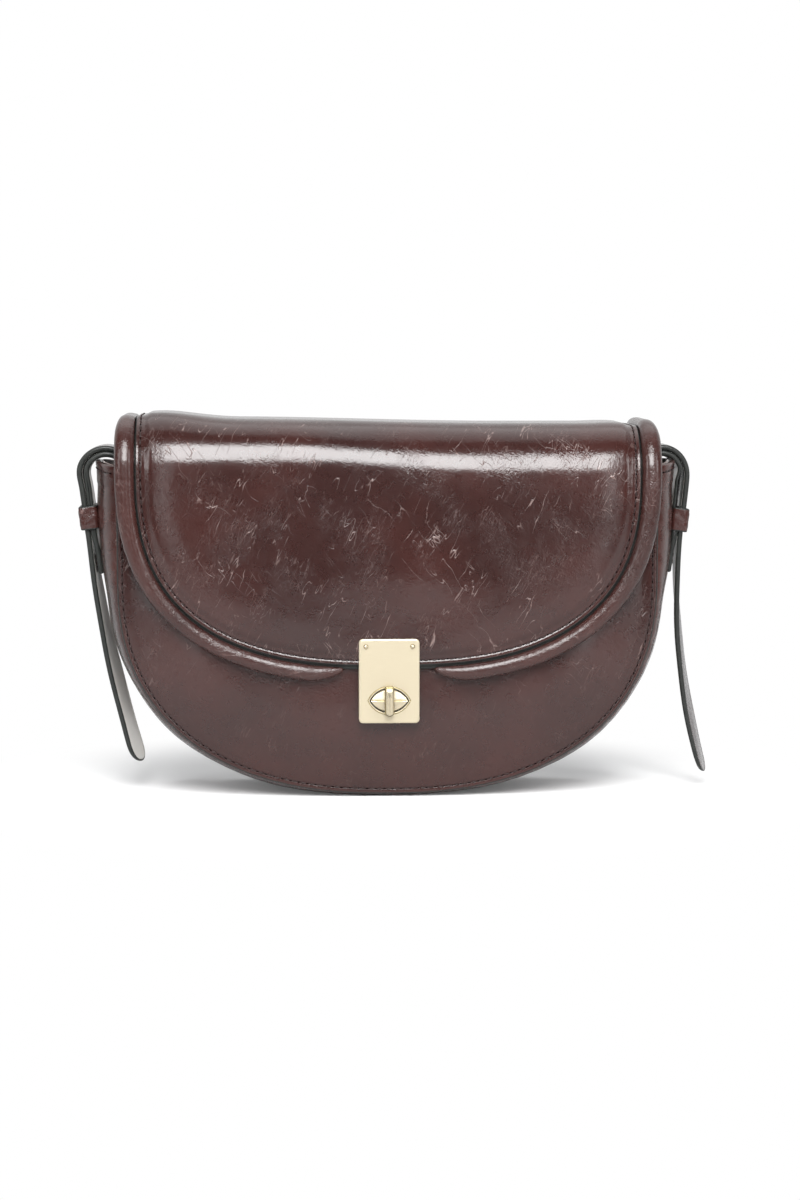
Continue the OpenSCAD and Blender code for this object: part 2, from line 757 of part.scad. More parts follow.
module flap_panel_front() {
    color(leather) difference() {
        flap_front_layer(flap_face, panel_in);
        pin_holes();
    }
}

module flap_base_front() {
    color(leather) difference() {
        flap_front_layer(panel_in, base_in);
        pin_holes();
    }
}

module flap_lining_front() {
    color(lining_leather) difference() {
        flap_front_layer(base_in, flap_lining_in);
        slab(back_plate_y + flap_lining_t + overrun, flap_lining_t + overrun)
            translate([0, plate_top_z - back_plate_inset + layer_gap - plate_h / 2])
            square([plate_w - 2 * back_plate_inset + 2 * layer_gap, plate_h], center = true);
    }
}

// Rings of the padded roll on one side, from its fold to its tip, with the wall taken off for its filler
function roll_end_angle(x) = 180 + acos(pow(x / half_flap, flap_power / 2));

roll_tip_angle = roll_end_angle(roll_tip_x);
low_roll_share = 0.77;
filler_share = 0.8;
filler_angle = 180 + (roll_tip_angle - 180) * filler_share;
filler_short_angle = 0.2;

function roll_ring(c, n, r) = [for (j = [0 : roll_sides - 1])
    let (a = 360 * j / roll_sides)
    [c[0] + r * cos(a) * n[0], fold_y + r * sin(a), c[1] + r * cos(a) * n[1]]];

function roll_rings(to, wall) = [for (i = [0 : roll_steps])
    let (t = 180 + (to - 180) * i / roll_steps,
         share = (t - 180) / (roll_tip_angle - 180),
         narrow = pow(max(0, (share - filler_share) / (1 - filler_share)), 2),
         full_r = roll_r + (roll_low_r - roll_r) * min(1, share / low_roll_share),
         r = full_r * (1 - narrow) + roll_tip_r * narrow,
         n = flap_normal(t),
         p = [half_flap * spow(cos(t), 2 / flap_power), fold_z + flap_drop * spow(sin(t), 2 / flap_power)])
    roll_ring(p + (roll_gap + r) * n, n, r - wall)];

// Rings over the fold, on a ball of the roll's radius, down to the radius r
function roll_head(r) = [for (i = [head_steps : -1 : 1])
    let (a = acos(r / roll_r) * i / head_steps)
    roll_ring([-roll_x, fold_z + roll_r * sin(a)], [-1, 0], roll_r * cos(a))];

module flap_roll_front() {
    color(leather) for (side = [-1, 1]) on_side(-side) {
        skin(concat(reversed(roll_rings(filler_angle, roll_wall)),
                    roll_head(bore_r),
                    roll_rings(roll_tip_angle, 0)));
    }
}

module flap_cord_front() {
    head = [-roll_x, fold_z + sqrt(roll_r * roll_r - bore_r * bore_r) - run_gap];
    color(cord_white) for (side = [-1, 1]) on_side(-side) {
        skin(concat([roll_ring(head, [-1, 0], bore_r - run_gap)],
                    roll_rings(filler_angle - filler_short_angle, roll_wall + run_gap)));
    }
}

module flap_stitching_front() {
    color(thread_brown) slab(flap_front_y, thread_h) difference() {
        polygon(flap_outline(seam_inset));
        polygon(flap_outline(seam_inset + thread_w));
        translate([0, plate_top_z - plate_h / 2]) square([plate_w + 2 * fold_gap, plate_h], center = true);
    }
}

// Lock plate: a tray of sheet metal over the flap's lower middle, closed behind by a plate under the lining
module plate_outline(inset) {
    translate([0, plate_low_z + plate_h / 2])
        rounded_rect(plate_w - 2 * inset, plate_h - 2 * inset, plate_corner_r - inset / 2);
}

module lock_plate() {
    cut_y = back_plate_y + overrun;
    color(gold) difference() {
        slab(back_plate_y, back_plate_y - plate_front_y) plate_outline(0);
        slab(cut_y, cut_y - plate_front_y - plate_sheet) plate_outline(plate_sheet);
        slab(cut_y, cut_y - flap_front_y) polygon(flap_outline(-layer_gap));
        slab(back_plate_y, back_plate_y - plate_front_y + overrun) translate([0, lock_z]) eye(oval_w, oval_h);
        for (s = [-1, 1]) {
            rod(s * pin_spacing / 2, pin_z, pin_r + run_gap, plate_front_y - overrun, flap_front_y + overrun);
        }
    }
}

module lock_back_plate() {
    color(steel) difference() {
        slab(back_plate_y + back_plate_t, back_plate_t) plate_outline(back_plate_inset);
        slab(back_plate_y + back_plate_t + overrun, back_plate_t + 2 * overrun)
            translate([0, lock_z]) eye(oval_w + 2 * layer_gap, oval_h + 2 * layer_gap);
        pin_holes();
    }
}

module plate_pins() {
    color(gold) for (s = [-1, 1]) {
        rod(s * pin_spacing / 2, pin_z, pin_r, plate_front_y - pin_r, back_plate_y + back_plate_t);
        translate([s * pin_spacing / 2, plate_front_y, pin_z]) difference() {
            sphere(r = pin_dome_r, $fn = round_fn);
            translate([-pin_dome_r - overrun, 0, -pin_dome_r - overrun])
                cube([2 * (pin_dome_r + overrun), pin_dome_r + overrun, 2 * (pin_dome_r + overrun)]);
        }
    }
}

front_panel();
front_board();
front_lining();
front_stitching();
back_panel();
back_board();
back_lining();
back_stitching();
gusset();
gusset_lining();
lock_base();
lock_washer();
tab_left();
tab_right();
tab_stitching_left();
tab_stitching_right();
buckle_left();
buckle_right();
shoulder_strap();
flap_panel_top();
flap_base_top();
flap_lining_top();
flap_roll_top();
flap_cord_top();
flap_stitching_top();
flap_panel_front();
flap_base_front();
flap_lining_front();
flap_roll_front();
flap_cord_front();
flap_stitching_front();
lock_plate();
lock_back_plate();
plate_pins();
turn_knob();
knob_clip();
tail_left();
tail_right();
keeper_left();
keeper_right();
prong_left();
prong_right();
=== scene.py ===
import math

import bmesh
import bpy
import numpy as np
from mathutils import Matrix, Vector


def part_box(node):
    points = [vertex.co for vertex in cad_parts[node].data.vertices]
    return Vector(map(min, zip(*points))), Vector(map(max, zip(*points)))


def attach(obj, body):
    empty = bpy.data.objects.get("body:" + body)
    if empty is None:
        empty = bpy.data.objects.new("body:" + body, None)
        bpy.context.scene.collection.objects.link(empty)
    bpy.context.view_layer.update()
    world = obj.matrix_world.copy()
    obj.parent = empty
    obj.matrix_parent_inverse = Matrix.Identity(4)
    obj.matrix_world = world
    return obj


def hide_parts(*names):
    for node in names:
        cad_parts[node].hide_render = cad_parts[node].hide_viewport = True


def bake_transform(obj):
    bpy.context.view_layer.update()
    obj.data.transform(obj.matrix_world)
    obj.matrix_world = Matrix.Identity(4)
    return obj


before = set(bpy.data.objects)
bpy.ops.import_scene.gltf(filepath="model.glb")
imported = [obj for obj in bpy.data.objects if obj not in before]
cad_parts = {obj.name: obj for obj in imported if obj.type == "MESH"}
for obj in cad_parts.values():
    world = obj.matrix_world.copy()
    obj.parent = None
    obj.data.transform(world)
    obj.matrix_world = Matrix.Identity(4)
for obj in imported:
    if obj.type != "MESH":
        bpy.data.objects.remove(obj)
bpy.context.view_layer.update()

# Camera. It stands 1.3 m in front of the bag's front panel, a little to its left and a little above it. Its
# lens shows 0.43 mm of the front panel in each of the picture's 1200 rows.
FRONT_FACE_Y = float(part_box("front_panel")[0][1])
AIM = np.array([0.0049, FRONT_FACE_Y, 0.0856])
VIEW_DISTANCE = 1.317
VIEW_LEFT = math.radians(2.5)
VIEW_UP = math.radians(5.0)
PICTURE_ROWS = 1200
ROW_SIZE = 0.00043
SENSOR = 36.0


def direction_at(left, up):
    """The direction that is turned left from the front, and up from the floor, by two angles."""
    return np.array([-math.sin(left) * math.cos(up), -math.cos(left) * math.cos(up), math.sin(up)])


away = direction_at(VIEW_LEFT, VIEW_UP)
camera_data = bpy.data.cameras.new("camera")
camera_data.sensor_fit = "VERTICAL"
camera_data.sensor_height = SENSOR
camera_data.lens = SENSOR * VIEW_DISTANCE / (PICTURE_ROWS * ROW_SIZE)
camera = bpy.data.objects.new("camera", camera_data)
camera.location = AIM + VIEW_DISTANCE * away
camera.rotation_euler = Vector(-away).to_track_quat("-Z", "Y").to_euler()
bpy.context.collection.objects.link(camera)
bpy.context.scene.camera = camera
bpy.context.scene.view_settings.view_transform = "Standard"

# Studio. A large softbox hangs over the camera, from 20 to 54 degrees up. Two upright ones stand at the
# sides, two narrow strips low beside the camera, and a wide one hangs overhead. The room is white behind
# the bag and dark in front of it, and the camera sees white all round.
LAMP_CENTRE = Vector((0, 0, 0.1))
WHITE = (1, 1, 1, 1)
SMOOTH = {"interpolation_type": "SMOOTHSTEP"}

for name, left_turn, height_angle, distance, width, height, power in (
        ("softbox_key", 0, 37, 1.6, 0.85, 1.0, 43), ("softbox_left", 50, 20, 1.6, 0.4, 1.0, 7),
        ("softbox_right", -50, 20, 1.6, 0.4, 1.0, 7), ("strip_left", 13, 6, 1.7, 0.14, 0.9, 1.3),
        ("strip_right", -16, 6, 1.7, 0.14, 0.9, 1.8), ("softbox_top", 0, 105, 1.8, 2.0, 1.4, 8)):
    lamp = bpy.data.lights.new(name, "AREA")
    lamp.shape = "RECTANGLE"
    lamp.size = width
    lamp.size_y = height
    lamp.energy = power
    place = Vector(direction_at(math.radians(left_turn), math.radians(height_angle)))
    box = bpy.data.objects.new(name, lamp)
    box.location = LAMP_CENTRE + distance * place
    box.rotation_euler = place.to_track_quat("Z", "Y").to_euler()
    bpy.context.collection.objects.link(box)


def nodes_in(tree):
    """A function that adds a node to the tree and gives back an output, the first or the one named after a
    point. A plain value for a socket, in order or by name, is set there, and another node's output is
    linked to it."""
    def add(kind, settings=None, *inputs, **named):
        kind, _, output = kind.partition(".")
        node = tree.nodes.new("ShaderNode" + kind)
        for key, value in (settings or {}).items():
            setattr(node, key, value)
        sockets = list(zip(node.inputs, inputs))
        sockets += [(node.inputs[key.replace("_", " ")], value) for key, value in named.items()]
        for socket, value in sockets:
            if isinstance(value, bpy.types.NodeSocket):
                tree.links.new(value, socket)
            else:
                socket.default_value = value
        return node.outputs[output or 0] if node.outputs else node

    return add


world = bpy.data.worlds.new("surround")
world.use_nodes = True
bpy.context.scene.world = world
world.node_tree.nodes.clear()
add = nodes_in(world.node_tree)
to_back = add("SeparateXYZ.Y", None, add("TexCoord.Generated"))
mirrored = add("Background", None, WHITE, add("MapRange", SMOOTH, to_back, -0.2, 0.5, 0.03, 0.78))
soft = add("Background", None, (0.96, 0.98, 1, 1), 0.35)
white = add("Background", None, WHITE, 1)
glossy_or_clear = add("Math", {"operation": "MAXIMUM"}, add("LightPath.Is Glossy Ray"),
                      add("LightPath.Is Transmission Ray"))
lit_room = add("MixShader", None, glossy_or_clear, soft, mirrored)
add("OutputWorld", None, add("MixShader", None, add("LightPath.Is Camera Ray"), lit_room, white))


# Floor. A pale matt sheet that keeps the bag's soft shadow near it and fades to white further off.
def new_material(name):
    """An empty node material and its node adder."""
    material = bpy.data.materials.new(name)
    material.use_nodes = True
    material.node_tree.nodes.clear()
    return material, nodes_in(material.node_tree)


FLOOR_SIDE, FLOOR_FRONT, FLOOR_BACK = 1.5, -0.45, 2.5
SHADOW_NEAR, SHADOW_FAR = 0.1, 0.2
floor_mesh = bpy.data.meshes.new("floor")
floor_corners = [(-FLOOR_SIDE, FLOOR_FRONT, 0), (FLOOR_SIDE, FLOOR_FRONT, 0), (FLOOR_SIDE, FLOOR_BACK, 0),
                 (-FLOOR_SIDE, FLOOR_BACK, 0)]
floor_mesh.from_pydata(floor_corners, [], [(0, 1, 2, 3)])
floor = bpy.data.objects.new("floor", floor_mesh)
bpy.context.collection.objects.link(floor)
floor_paint, add = new_material("floor_paint")
matt = add("BsdfDiffuse", None, add("MapRange", None, add("LightPath.Is Glossy Ray"), 0, 1, 0.88, 0.62))
from_middle = add("VectorMath.Value", {"operation": "LENGTH"}, add("TexCoord.Object"))
far_off = add("MapRange", SMOOTH, from_middle, SHADOW_NEAR, SHADOW_FAR, 0.08, 1)
seen_far = add("Math", {"operation": "MULTIPLY"}, add("LightPath.Is Camera Ray"), far_off)
add("OutputMaterial", None, add("MixShader", None, seen_far, matt, add("Emission", None, WHITE, 1)))
floor_mesh.materials.append(floor_paint)


# Front panel and back panel. Each is one half-moon of glazed cowhide over a stiff board, cut, painted
# black along its raw edge and sewn to the gusset 2.3 mm inside that edge. Both curve back a little towards
# their edges.
MM = 0.001
BODY_HALF_W = 116.5
BODY_HALF_D = 31.0
MOUTH_Z = 143.0
BACK_TOP_Z = 143.7
BELLY_Z = 95.0
BELLY_DROP = 93.8
BELLY_POWER = 2.36
PANEL_T = 1.6
SEAM_INSET = 2.3
EDGE_ROUND = 0.6
PAINT_WIDTH = 0.75
SEAM_PITCH = 3.7
STITCH_L, STITCH_W, STITCH_H = 2.5, 0.86, 0.46
HOLE_HALF_L, HOLE_R, HOLE_H = 0.62, 0.36, 0.08
MARGIN = (0.9, 1.3, 1.7, 1.95, 2.15, 2.3, 2.45, 2.65, 2.9, 3.3, 3.9, 4.6, 5.4, 6.4, 7.6, 9.0, 11.0)


def ease(share):
    """Smooth step: 0 below 0, 1 above 1, and 3 s squared minus 2 s cubed between them."""
    s = np.clip(share, 0, 1)
    return s * s * (3 - 2 * s)


def run_along(across, down):
    """How far along a line each of its points is."""
    return np.r_[0, np.cumsum(np.hypot(np.diff(across), np.diff(down)))]


def half_moon(half_width, drop, power, pitch, inset=0.0):
    """Points at even distances round a half superellipse, x = half_width cos^(2/power) and down = drop
    sin^(2/power), from left to right, moved inwards by inset, and the outward direction at each."""
    t = np.linspace(0, np.pi, 4001)
    c, s = np.cos(t), np.abs(np.sin(t))
    x = -half_width * np.sign(c) * np.abs(c) ** (2 / power)
    down = drop * s ** (2 / power)
    run = run_along(x, down)
    at = np.linspace(0, run[-1], 2 * int(round(run[-1] / pitch / 2)) + 1)
    x, down = np.interp(at, run, x), np.interp(at, run, down)
    out_x = np.sign(x) * np.abs(x / half_width) ** (power - 1) / half_width
    out_down = (down / drop) ** (power - 1) / drop
    size = np.hypot(out_x, out_down)
    out_x, out_down = out_x / size, out_down / size
    return x - inset * out_x, down - inset * out_down, out_x, out_down


def grid_quads(rows, columns, first=0):
    """Corner numbers of the quads of a grid of points, row by row."""
    a = first + np.arange(rows - 1)[:, None] * columns + np.arange(columns - 1)[None, :]
    return np.stack([a, a + 1, a + columns + 1, a + columns], -1).reshape(-1, 4)


def ring_quads(rings, wrap=True):
    """Quads between neighbouring rings of points, and from the last ring to the first where it wraps."""
    count, sides = len(rings), len(rings[0])
    i, j = np.arange(count if wrap else count - 1)[:, None], np.arange(sides)[None, :]
    onwards = (i + 1) % count
    round_j = (j + 1) % sides
    return np.stack([i * sides + j, i * sides + round_j, onwards * sides + round_j, onwards * sides + j],
                    -1).reshape(-1, 4)


def cut_panel(half_width, straight, thickness, drop=0.0, power=2.0, margin=MARGIN, pitch=2.2, row_pitch=2.6,
              lines=26, edge=EDGE_ROUND, upper="edge", lower="round", columns=24):
    """A piece of leather laid out flat: x across, length down from its upper end, height from its outer
    face. It has straight sides for the length straight and then, if lower is round, half a superellipse.
    Its rim is half round. Inside the rim run lines that keep their distance from it, and inside those a
    fan of straight lines. Both faces meet along the rim. An end that is cut gets a flat wall. Distance is
    how far a point is from the rim."""
    turn = np.radians(np.linspace(0, 90, 5))
    rim = edge * (1 - np.cos(turn))
    inset = np.r_[rim, margin]
    rise = np.r_[np.sin(turn), np.ones(len(margin))]
    if lower == "round":
        rim_x, rim_d, out_x, out_d = half_moon(half_width, drop, power, pitch)
        columns = len(rim_x) - 1
    left = -half_width + inset
    middle = np.linspace(left[-1], -left[-1], columns + 1)
    across = np.r_[left[:-1], middle, -left[::-1][1:]]
    across_rise = np.r_[rise[:-1], np.ones(columns + 1), rise[::-1][1:]]
    count = max(2, int(round(straight / row_pitch)))
    down, down_rise = np.linspace(0, straight, count + 1), np.ones(count + 1)
    if upper == "edge":
        down = np.r_[rim, np.linspace(edge, straight, count + 1)[1:]]
        down_rise = np.r_[np.sin(turn), np.ones(count)]
    if lower == "edge":
        down = np.r_[down[:-1], straight - rim[::-1]]
        down_rise = np.r_[down_rise[:-1], np.sin(turn[::-1])]
    grid_x, grid_l = np.meshgrid(across, down)
    blocks = [(grid_x, grid_l, np.outer(down_rise, across_rise), half_width - np.abs(grid_x))]
    if lower == "round":
        s = np.linspace(0, 1, lines + 1)[1:]
        ring_x, ring_d = rim_x[:, None] - inset * out_x[:, None], rim_d[:, None] - inset * out_d[:, None]
        fan_x = ring_x[:, -1:] * (1 - s) + middle[:, None] * s
        fan_d = ring_d[:, -1:] * (1 - s)
        far = np.hypot(fan_x[..., None] - rim_x, fan_d[..., None] - rim_d).min(-1)
        far = np.minimum(far, half_width - np.abs(fan_x))
        count = len(rim_x)
        lift = np.tile(np.r_[rise, np.ones(lines)], (count, 1))
        far = np.c_[np.tile(inset, (count, 1)), far]
        blocks.append((np.c_[ring_x, fan_x], straight + np.c_[ring_d, fan_d], lift, far))
    flat, quads, paint, first = [], [], [], 0
    for x, length, lift, far in blocks:
        painted = far[:-1, :-1] + far[1:, 1:] < 2 * PAINT_WIDTH
        ends = length[:-1, :-1] + length[1:, 1:]
        if upper == "edge":
            painted |= ends < 2 * PAINT_WIDTH
        if lower == "edge":
            painted |= ends > 2 * (straight - PAINT_WIDTH)
        for face in (1, -1):
            height = thickness / 2 * (face * lift - 1)
            flat.append(np.stack([x, length, height, far, np.full_like(x, face)], -1).reshape(-1, 5))
            quads.append(grid_quads(*x.shape, first)[:, ::face])
            paint.append(painted.ravel())
            first += x.size
    for end, row in ((upper, 0), (lower, len(down) - 1)):
        if end == "cut":
            a = row * len(across) + np.arange(len(across) - 1)
            quads.append(np.stack([a, a + 1, a + 1 + grid_x.size, a + grid_x.size], -1))
            paint.append(np.zeros(len(a), bool))
    return np.concatenate(flat), np.concatenate(quads), np.concatenate(paint)


def weld(name, points, quads, finishes, flat=None, finish_of=None, sharp=50):
    """A mesh from points in millimetres. Points in one place are merged, faces are turned outwards, and the
    layout of the flat piece, in metres, is kept as an attribute for the materials."""
    mesh = bpy.data.meshes.new(name)
    mesh.from_pydata((np.asarray(points) * MM).tolist(), [], np.asarray(quads).tolist())
    if flat is not None:
        layout = mesh.attributes.new("flat", "FLOAT_VECTOR", "POINT")
        layout.data.foreach_set("vector", (np.asarray(flat, float) * MM).astype(np.float32).ravel())
    for finish in finishes:
        mesh.materials.append(finish)
    if finish_of is not None:
        mesh.polygons.foreach_set("material_index", np.asarray(finish_of).astype(np.int32))
    work = bmesh.new()
    work.from_mesh(mesh)
    bmesh.ops.remove_doubles(work, verts=work.verts, dist=2e-6)
    bmesh.ops.recalc_face_normals(work, faces=work.faces)
    work.to_mesh(mesh)
    work.free()
    mesh.polygons.foreach_set("use_smooth", np.ones(len(mesh.polygons), bool))
    mesh.set_sharp_from_angle(angle=math.radians(sharp))
    mesh.update()
    obj = bpy.data.objects.new(name, mesh)
    bpy.context.collection.objects.link(obj)
    return obj


def make_leather(name, dark, warm, crease_rub_and_glint, grain=1.0, creases=1.0, calm=None, coat_rough=0.16):
    """Glazed crinkled leather, laid out on the flat piece. Cloudy noise moves the colour between dark and
    warm. Fine wrinkles are the folds of a slanting noise, height = |noise - 0.5|. Creases are hair-thin
    lines where a long slanting noise passes 0.5, kept only in patches. Both lift the surface. The creases
    are painted paler, partly as rubbed wear and partly as painted highlight for the glint along them. The
    relief fades to a quarter of itself between the two lengths of calm."""
    material, add = new_material(name)
    layout = add("Attribute.Vector", {"attribute_name": "flat"})

    def noise(scale, detail=3.0, roughness=0.55, source=layout):
        return add("TexNoise.Fac", Vector=source, Scale=scale, Detail=detail, Roughness=roughness)

    def remap(source, low, high, out_low=0.0, out_high=1.0):
        return add("MapRange", SMOOTH, source, low, high, out_low, out_high)

    def math_of(kind, a, b=0.0):
        return add("Math", {"operation": kind}, a, b)

    def times(a, b):
        return math_of("MULTIPLY", a, b)

    def plus(a, b):
        return math_of("ADD", a, b)

    def bent_by(scale, detail, reach):
        bend = add("TexNoise.Color", Vector=layout, Scale=scale, Detail=detail)
        return add("VectorMath", {"operation": "MULTIPLY_ADD"}, bend, (reach, reach, 0), layout)

    def off_middle(slant, across, along, source):
        turn = (0, 0, math.radians(slant))
        turned = add("Mapping", {"vector_type": "TEXTURE"}, Vector=source, Rotation=turn,
                     Scale=(1 / across, 1 / along, 1))
        return math_of("ABSOLUTE", math_of("SUBTRACT", noise(1.0, 2, 0.5, turned), 0.5))

    def hairlines(slant, across, along, width, source):
        return remap(off_middle(slant, across, along, source), 0, width, 1, 0)

    def patches(lines, scale, low, high):
        return times(lines, remap(noise(scale, 3, 0.6), low, high))

    def mixed(share, first, second):
        return add("Mix.Result", {"data_type": "RGBA"}, Factor=share, A=first, B=second)

    loose = bent_by(60, 4, 0.003)
    tight = bent_by(260, 3, 0.0009)
    long_creases = patches(patches(hairlines(-27, 190, 34, 0.0085, loose), 38, 0.47, 0.57), 90, 0.44, 0.54)
    side_creases = patches(patches(hairlines(40, 150, 40, 0.006, loose), 33, 0.5, 0.6), 80, 0.42, 0.54)
    short_creases = patches(hairlines(-24, 400, 85, 0.015, tight), 50, 0.5, 0.62)
    nets = plus(long_creases, plus(side_creases, times(short_creases, 0.3)))
    wrinkles = plus(off_middle(-35, 950, 450, tight), off_middle(62, 800, 380, tight))
    wrinkles = times(wrinkles, remap(noise(48, 3), 0.42, 0.62, 0.35, 1.0))
    if calm:
        length = add("SeparateXYZ.Y", None, layout)
        relief = remap(length, -calm[1] * MM, -calm[0] * MM, 0.25, 1.0)
        nets = times(nets, relief)
    height = plus(times(nets, 0.8 * creases), times(wrinkles, 1.7 * grain))
    height = plus(height, times(noise(1500, 2, 0.5), 0.1 * grain))
    height = plus(height, times(noise(130, 2), 1.2))
    if calm:
        height = times(height, relief)
    bump = add("Bump", Strength=1.0, Distance=0.0001, Height=height)
    mottle = noise(160, 4, 0.65)
    shade = plus(times(remap(noise(15, 4, 0.55), 0.36, 0.64), 0.72), times(mottle, 0.28))
    dyed = mixed(shade, (*dark, 1), (*warm, 1))
    # Painted highlight and wear: along the creases the colour is mixed 40 % towards the paler crease colour.
    skin = add("BsdfPrincipled", Base_Color=mixed(times(nets, 0.4), dyed, (*crease_rub_and_glint, 1)), Normal=bump,
               Roughness=remap(mottle, 0.3, 0.7, 0.25, 0.33), Specular_IOR_Level=0.1, Coat_Weight=0.95,
               Coat_Roughness=coat_rough, Coat_Normal=bump)
    add("OutputMaterial", None, skin)
    return material


def make_solid(name, base, other, scale, rough, lift=0.00003, metal=0.0, stretch=(1, 1, 1), coat=0.0,
               sheen=0.0, shine=0.5):
    """A finish on the object's own coordinates: noise moves the colour from base to other and the roughness
    between its two values, and lifts the surface by lift metres."""
    material, add = new_material(name)
    spread = add("Mapping", Vector=add("TexCoord.Object"), Scale=stretch)
    cloud = add("TexNoise.Fac", Vector=spread, Scale=scale, Detail=4.0, Roughness=0.6)
    colour = add("Mix.Result", {"data_type": "RGBA"}, Factor=cloud, A=(*base, 1), B=(*other, 1))
    bump = add("Bump", Strength=1.0, Distance=lift, Height=cloud)
    skin = add("BsdfPrincipled", Base_Color=colour, Roughness=add("MapRange", None, cloud, 0.3, 0.7, *rough),
               Normal=bump, Metallic=metal, Coat_Weight=coat, Coat_Roughness=0.1, Sheen_Weight=sheen,
               Specular_IOR_Level=shine)
    add("OutputMaterial", None, skin)
    return material


DARK_HIDE, WARM_HIDE = (0.021, 0.0077, 0.0068), (0.036, 0.011, 0.009)
glazed = make_leather("glazed_leather", DARK_HIDE, WARM_HIDE, (0.34, 0.25, 0.23))
wall_leather = make_leather("wall_leather", DARK_HIDE, WARM_HIDE, (0.2, 0.14, 0.127), calm=(75, 112))
edge_paint = make_solid("edge_paint", (0.013, 0.014, 0.013), (0.024, 0.026, 0.024), 420, (0.3, 0.42),
                        0.00005, shine=0.3)
thread = make_solid("waxed_thread", (0.016, 0.0085, 0.008), (0.028, 0.014, 0.013), 2600, (0.42, 0.55),
                    shine=0.3)
# Painted shade: each needle hole is a near-black mark that stands for the shade inside the hole.
needle_hole_shade = make_solid("needle_hole_shade", (0.003, 0.002, 0.002), (0.006, 0.004, 0.004), 900, (0.8, 0.9),
                         shine=0.0)


def seam_groove(far):
    """A groove 0.3 mm deep where the seam draws the leather in: a bell curve over the distance from it."""
    return -0.3 * np.exp(-((far - SEAM_INSET) / 0.6) ** 2)


def body_swell(x, length, far, face):
    """The outer face sinks into a groove at the seam and swells by 0.9 mm at both sides below the flap.
    Both faces curve back near the rim, by 2.1 mm times (1 minus distance / 40) squared."""
    waves = 0.16 * np.sin(x / 17 + length / 31) * np.sin(length / 23 - x / 41) * ease((far - 8) / 20)
    back = 2.1 * np.clip(1 - far / 40, 0, 1) ** 2
    cheek = 0.9 * np.exp(-((far - 32) / 14) ** 2) * ease((np.abs(x) - 60) / 20)
    cheek = cheek * ease((length - 55) / 15) * (1 - ease((length - 100) / 25))
    return waves - back + (seam_groove(far) + 0.22 * ease((far - 3.2) / 3) + cheek) * (face > 0)


def wall_place(side, face_y, top_z):
    """Places a flat layout on a wall of the body: length runs down from top_z, height out from face_y."""
    def place(x, length, height):
        return np.stack([x, side * (face_y + height), top_z - length], -1)
    return place


def sew_panel(name, cut, place, swell, finishes, shift=0.0):
    """A cut piece with its swelling added to its height, put in place."""
    flat, quads, paint = cut
    x, length, height, far, face = flat.T
    points = place(x, length, height + swell(x, length, far, face))
    layout = np.stack([x + shift, -length, np.zeros_like(x)], -1)
    return weld(name, points, quads, finishes, layout, paint)


def stitch_row(path_x, path_length, pitch=SEAM_PITCH):
    """Stitches along a line on the flat layout: at every pitch a small half-sunk spindle, whose pointed
    ends dip into the leather, and between two a flat round mark painted near black as the shade in a
    needle hole. Heights are from the line."""
    run = run_along(path_x, path_length)
    count = int(run[-1] / pitch)
    at = (np.arange(count) + 0.5) * run[-1] / count

    def spindles(s, along, wide, dip, high, sides=6):
        x, length = np.interp(s, run, path_x), np.interp(s, run, path_length)
        dx = np.interp(s + 0.5, run, path_x) - np.interp(s - 0.5, run, path_x)
        dl = np.interp(s + 0.5, run, path_length) - np.interp(s - 0.5, run, path_length)
        norm = np.hypot(dx, dl)
        x, length, dx, dl = (part[:, None, None] for part in (x, length, dx / norm, dl / norm))
        turn = np.arange(sides) * 2 * np.pi / sides
        a = np.repeat(along[:, None], sides, 1)
        b = wide[:, None] * np.cos(turn)
        h = high[:, None] * np.sin(turn) - dip[:, None]
        lifted = np.broadcast_to(h, (len(s), *h.shape))
        points = np.stack([x + a * dx - b * dl, length + a * dl + b * dx, lifted], -1)
        quads = ring_quads(h, False)[None] + (np.arange(len(s)) * h.size)[:, None, None]
        return points.reshape(-1, 3), quads.reshape(-1, 4)

    full = np.array([0.0, 0.62, 0.95, 1.0, 0.95, 0.62, 0.0])
    along = STITCH_L / 2 * np.array([-1, -0.82, -0.4, 0.0, 0.4, 0.82, 1])
    points, quads = spindles(at, along, STITCH_W / 2 * full, STITCH_H * 0.45 * (1 - full), STITCH_H * full)
    hole_along = HOLE_HALF_L * np.array([-1, -0.45 / 0.62, 0, 0.45 / 0.62, 1])
    hole_wide = HOLE_R * np.array([0, 2 / 3, 1, 2 / 3, 0])
    hole_high = HOLE_H * np.array([0, 0.75, 1, 0.75, 0])
    holes, hole_quads = spindles(np.r_[0, at + pitch / 2], hole_along, hole_wide, np.zeros(5), hole_high)
    return (np.concatenate([points, holes]), np.concatenate([quads, hole_quads + len(points)]),
            np.r_[np.zeros(len(quads), int), np.ones(len(hole_quads), int)])


def sew_stitches(name, rows, place, height):
    """Rows of stitches in one mesh, put in place at the given height over the layout."""
    points, quads, finish = zip(*rows)
    first = np.cumsum([0] + [len(row) for row in points[:-1]])
    x, length, h = np.concatenate(points).T
    return weld(name, place(x, length, h + height), np.concatenate([q + n for q, n in zip(quads, first)]),
                (thread, needle_hole_shade), finish_of=np.concatenate(finish), sharp=180)


def seam_path(half_width, straight, drop, power, inset, start=0.0):
    """The line that keeps its distance from a rim: down the left side, round the half-moon and up again."""
    x, down, _, _ = half_moon(half_width, drop, power, 1.0, inset)
    side = np.arange(start, straight, 1.0)
    return (np.r_[np.full(len(side), -half_width + inset), x, np.full(len(side), half_width - inset)],
            np.r_[side, straight + down, side[::-1]])


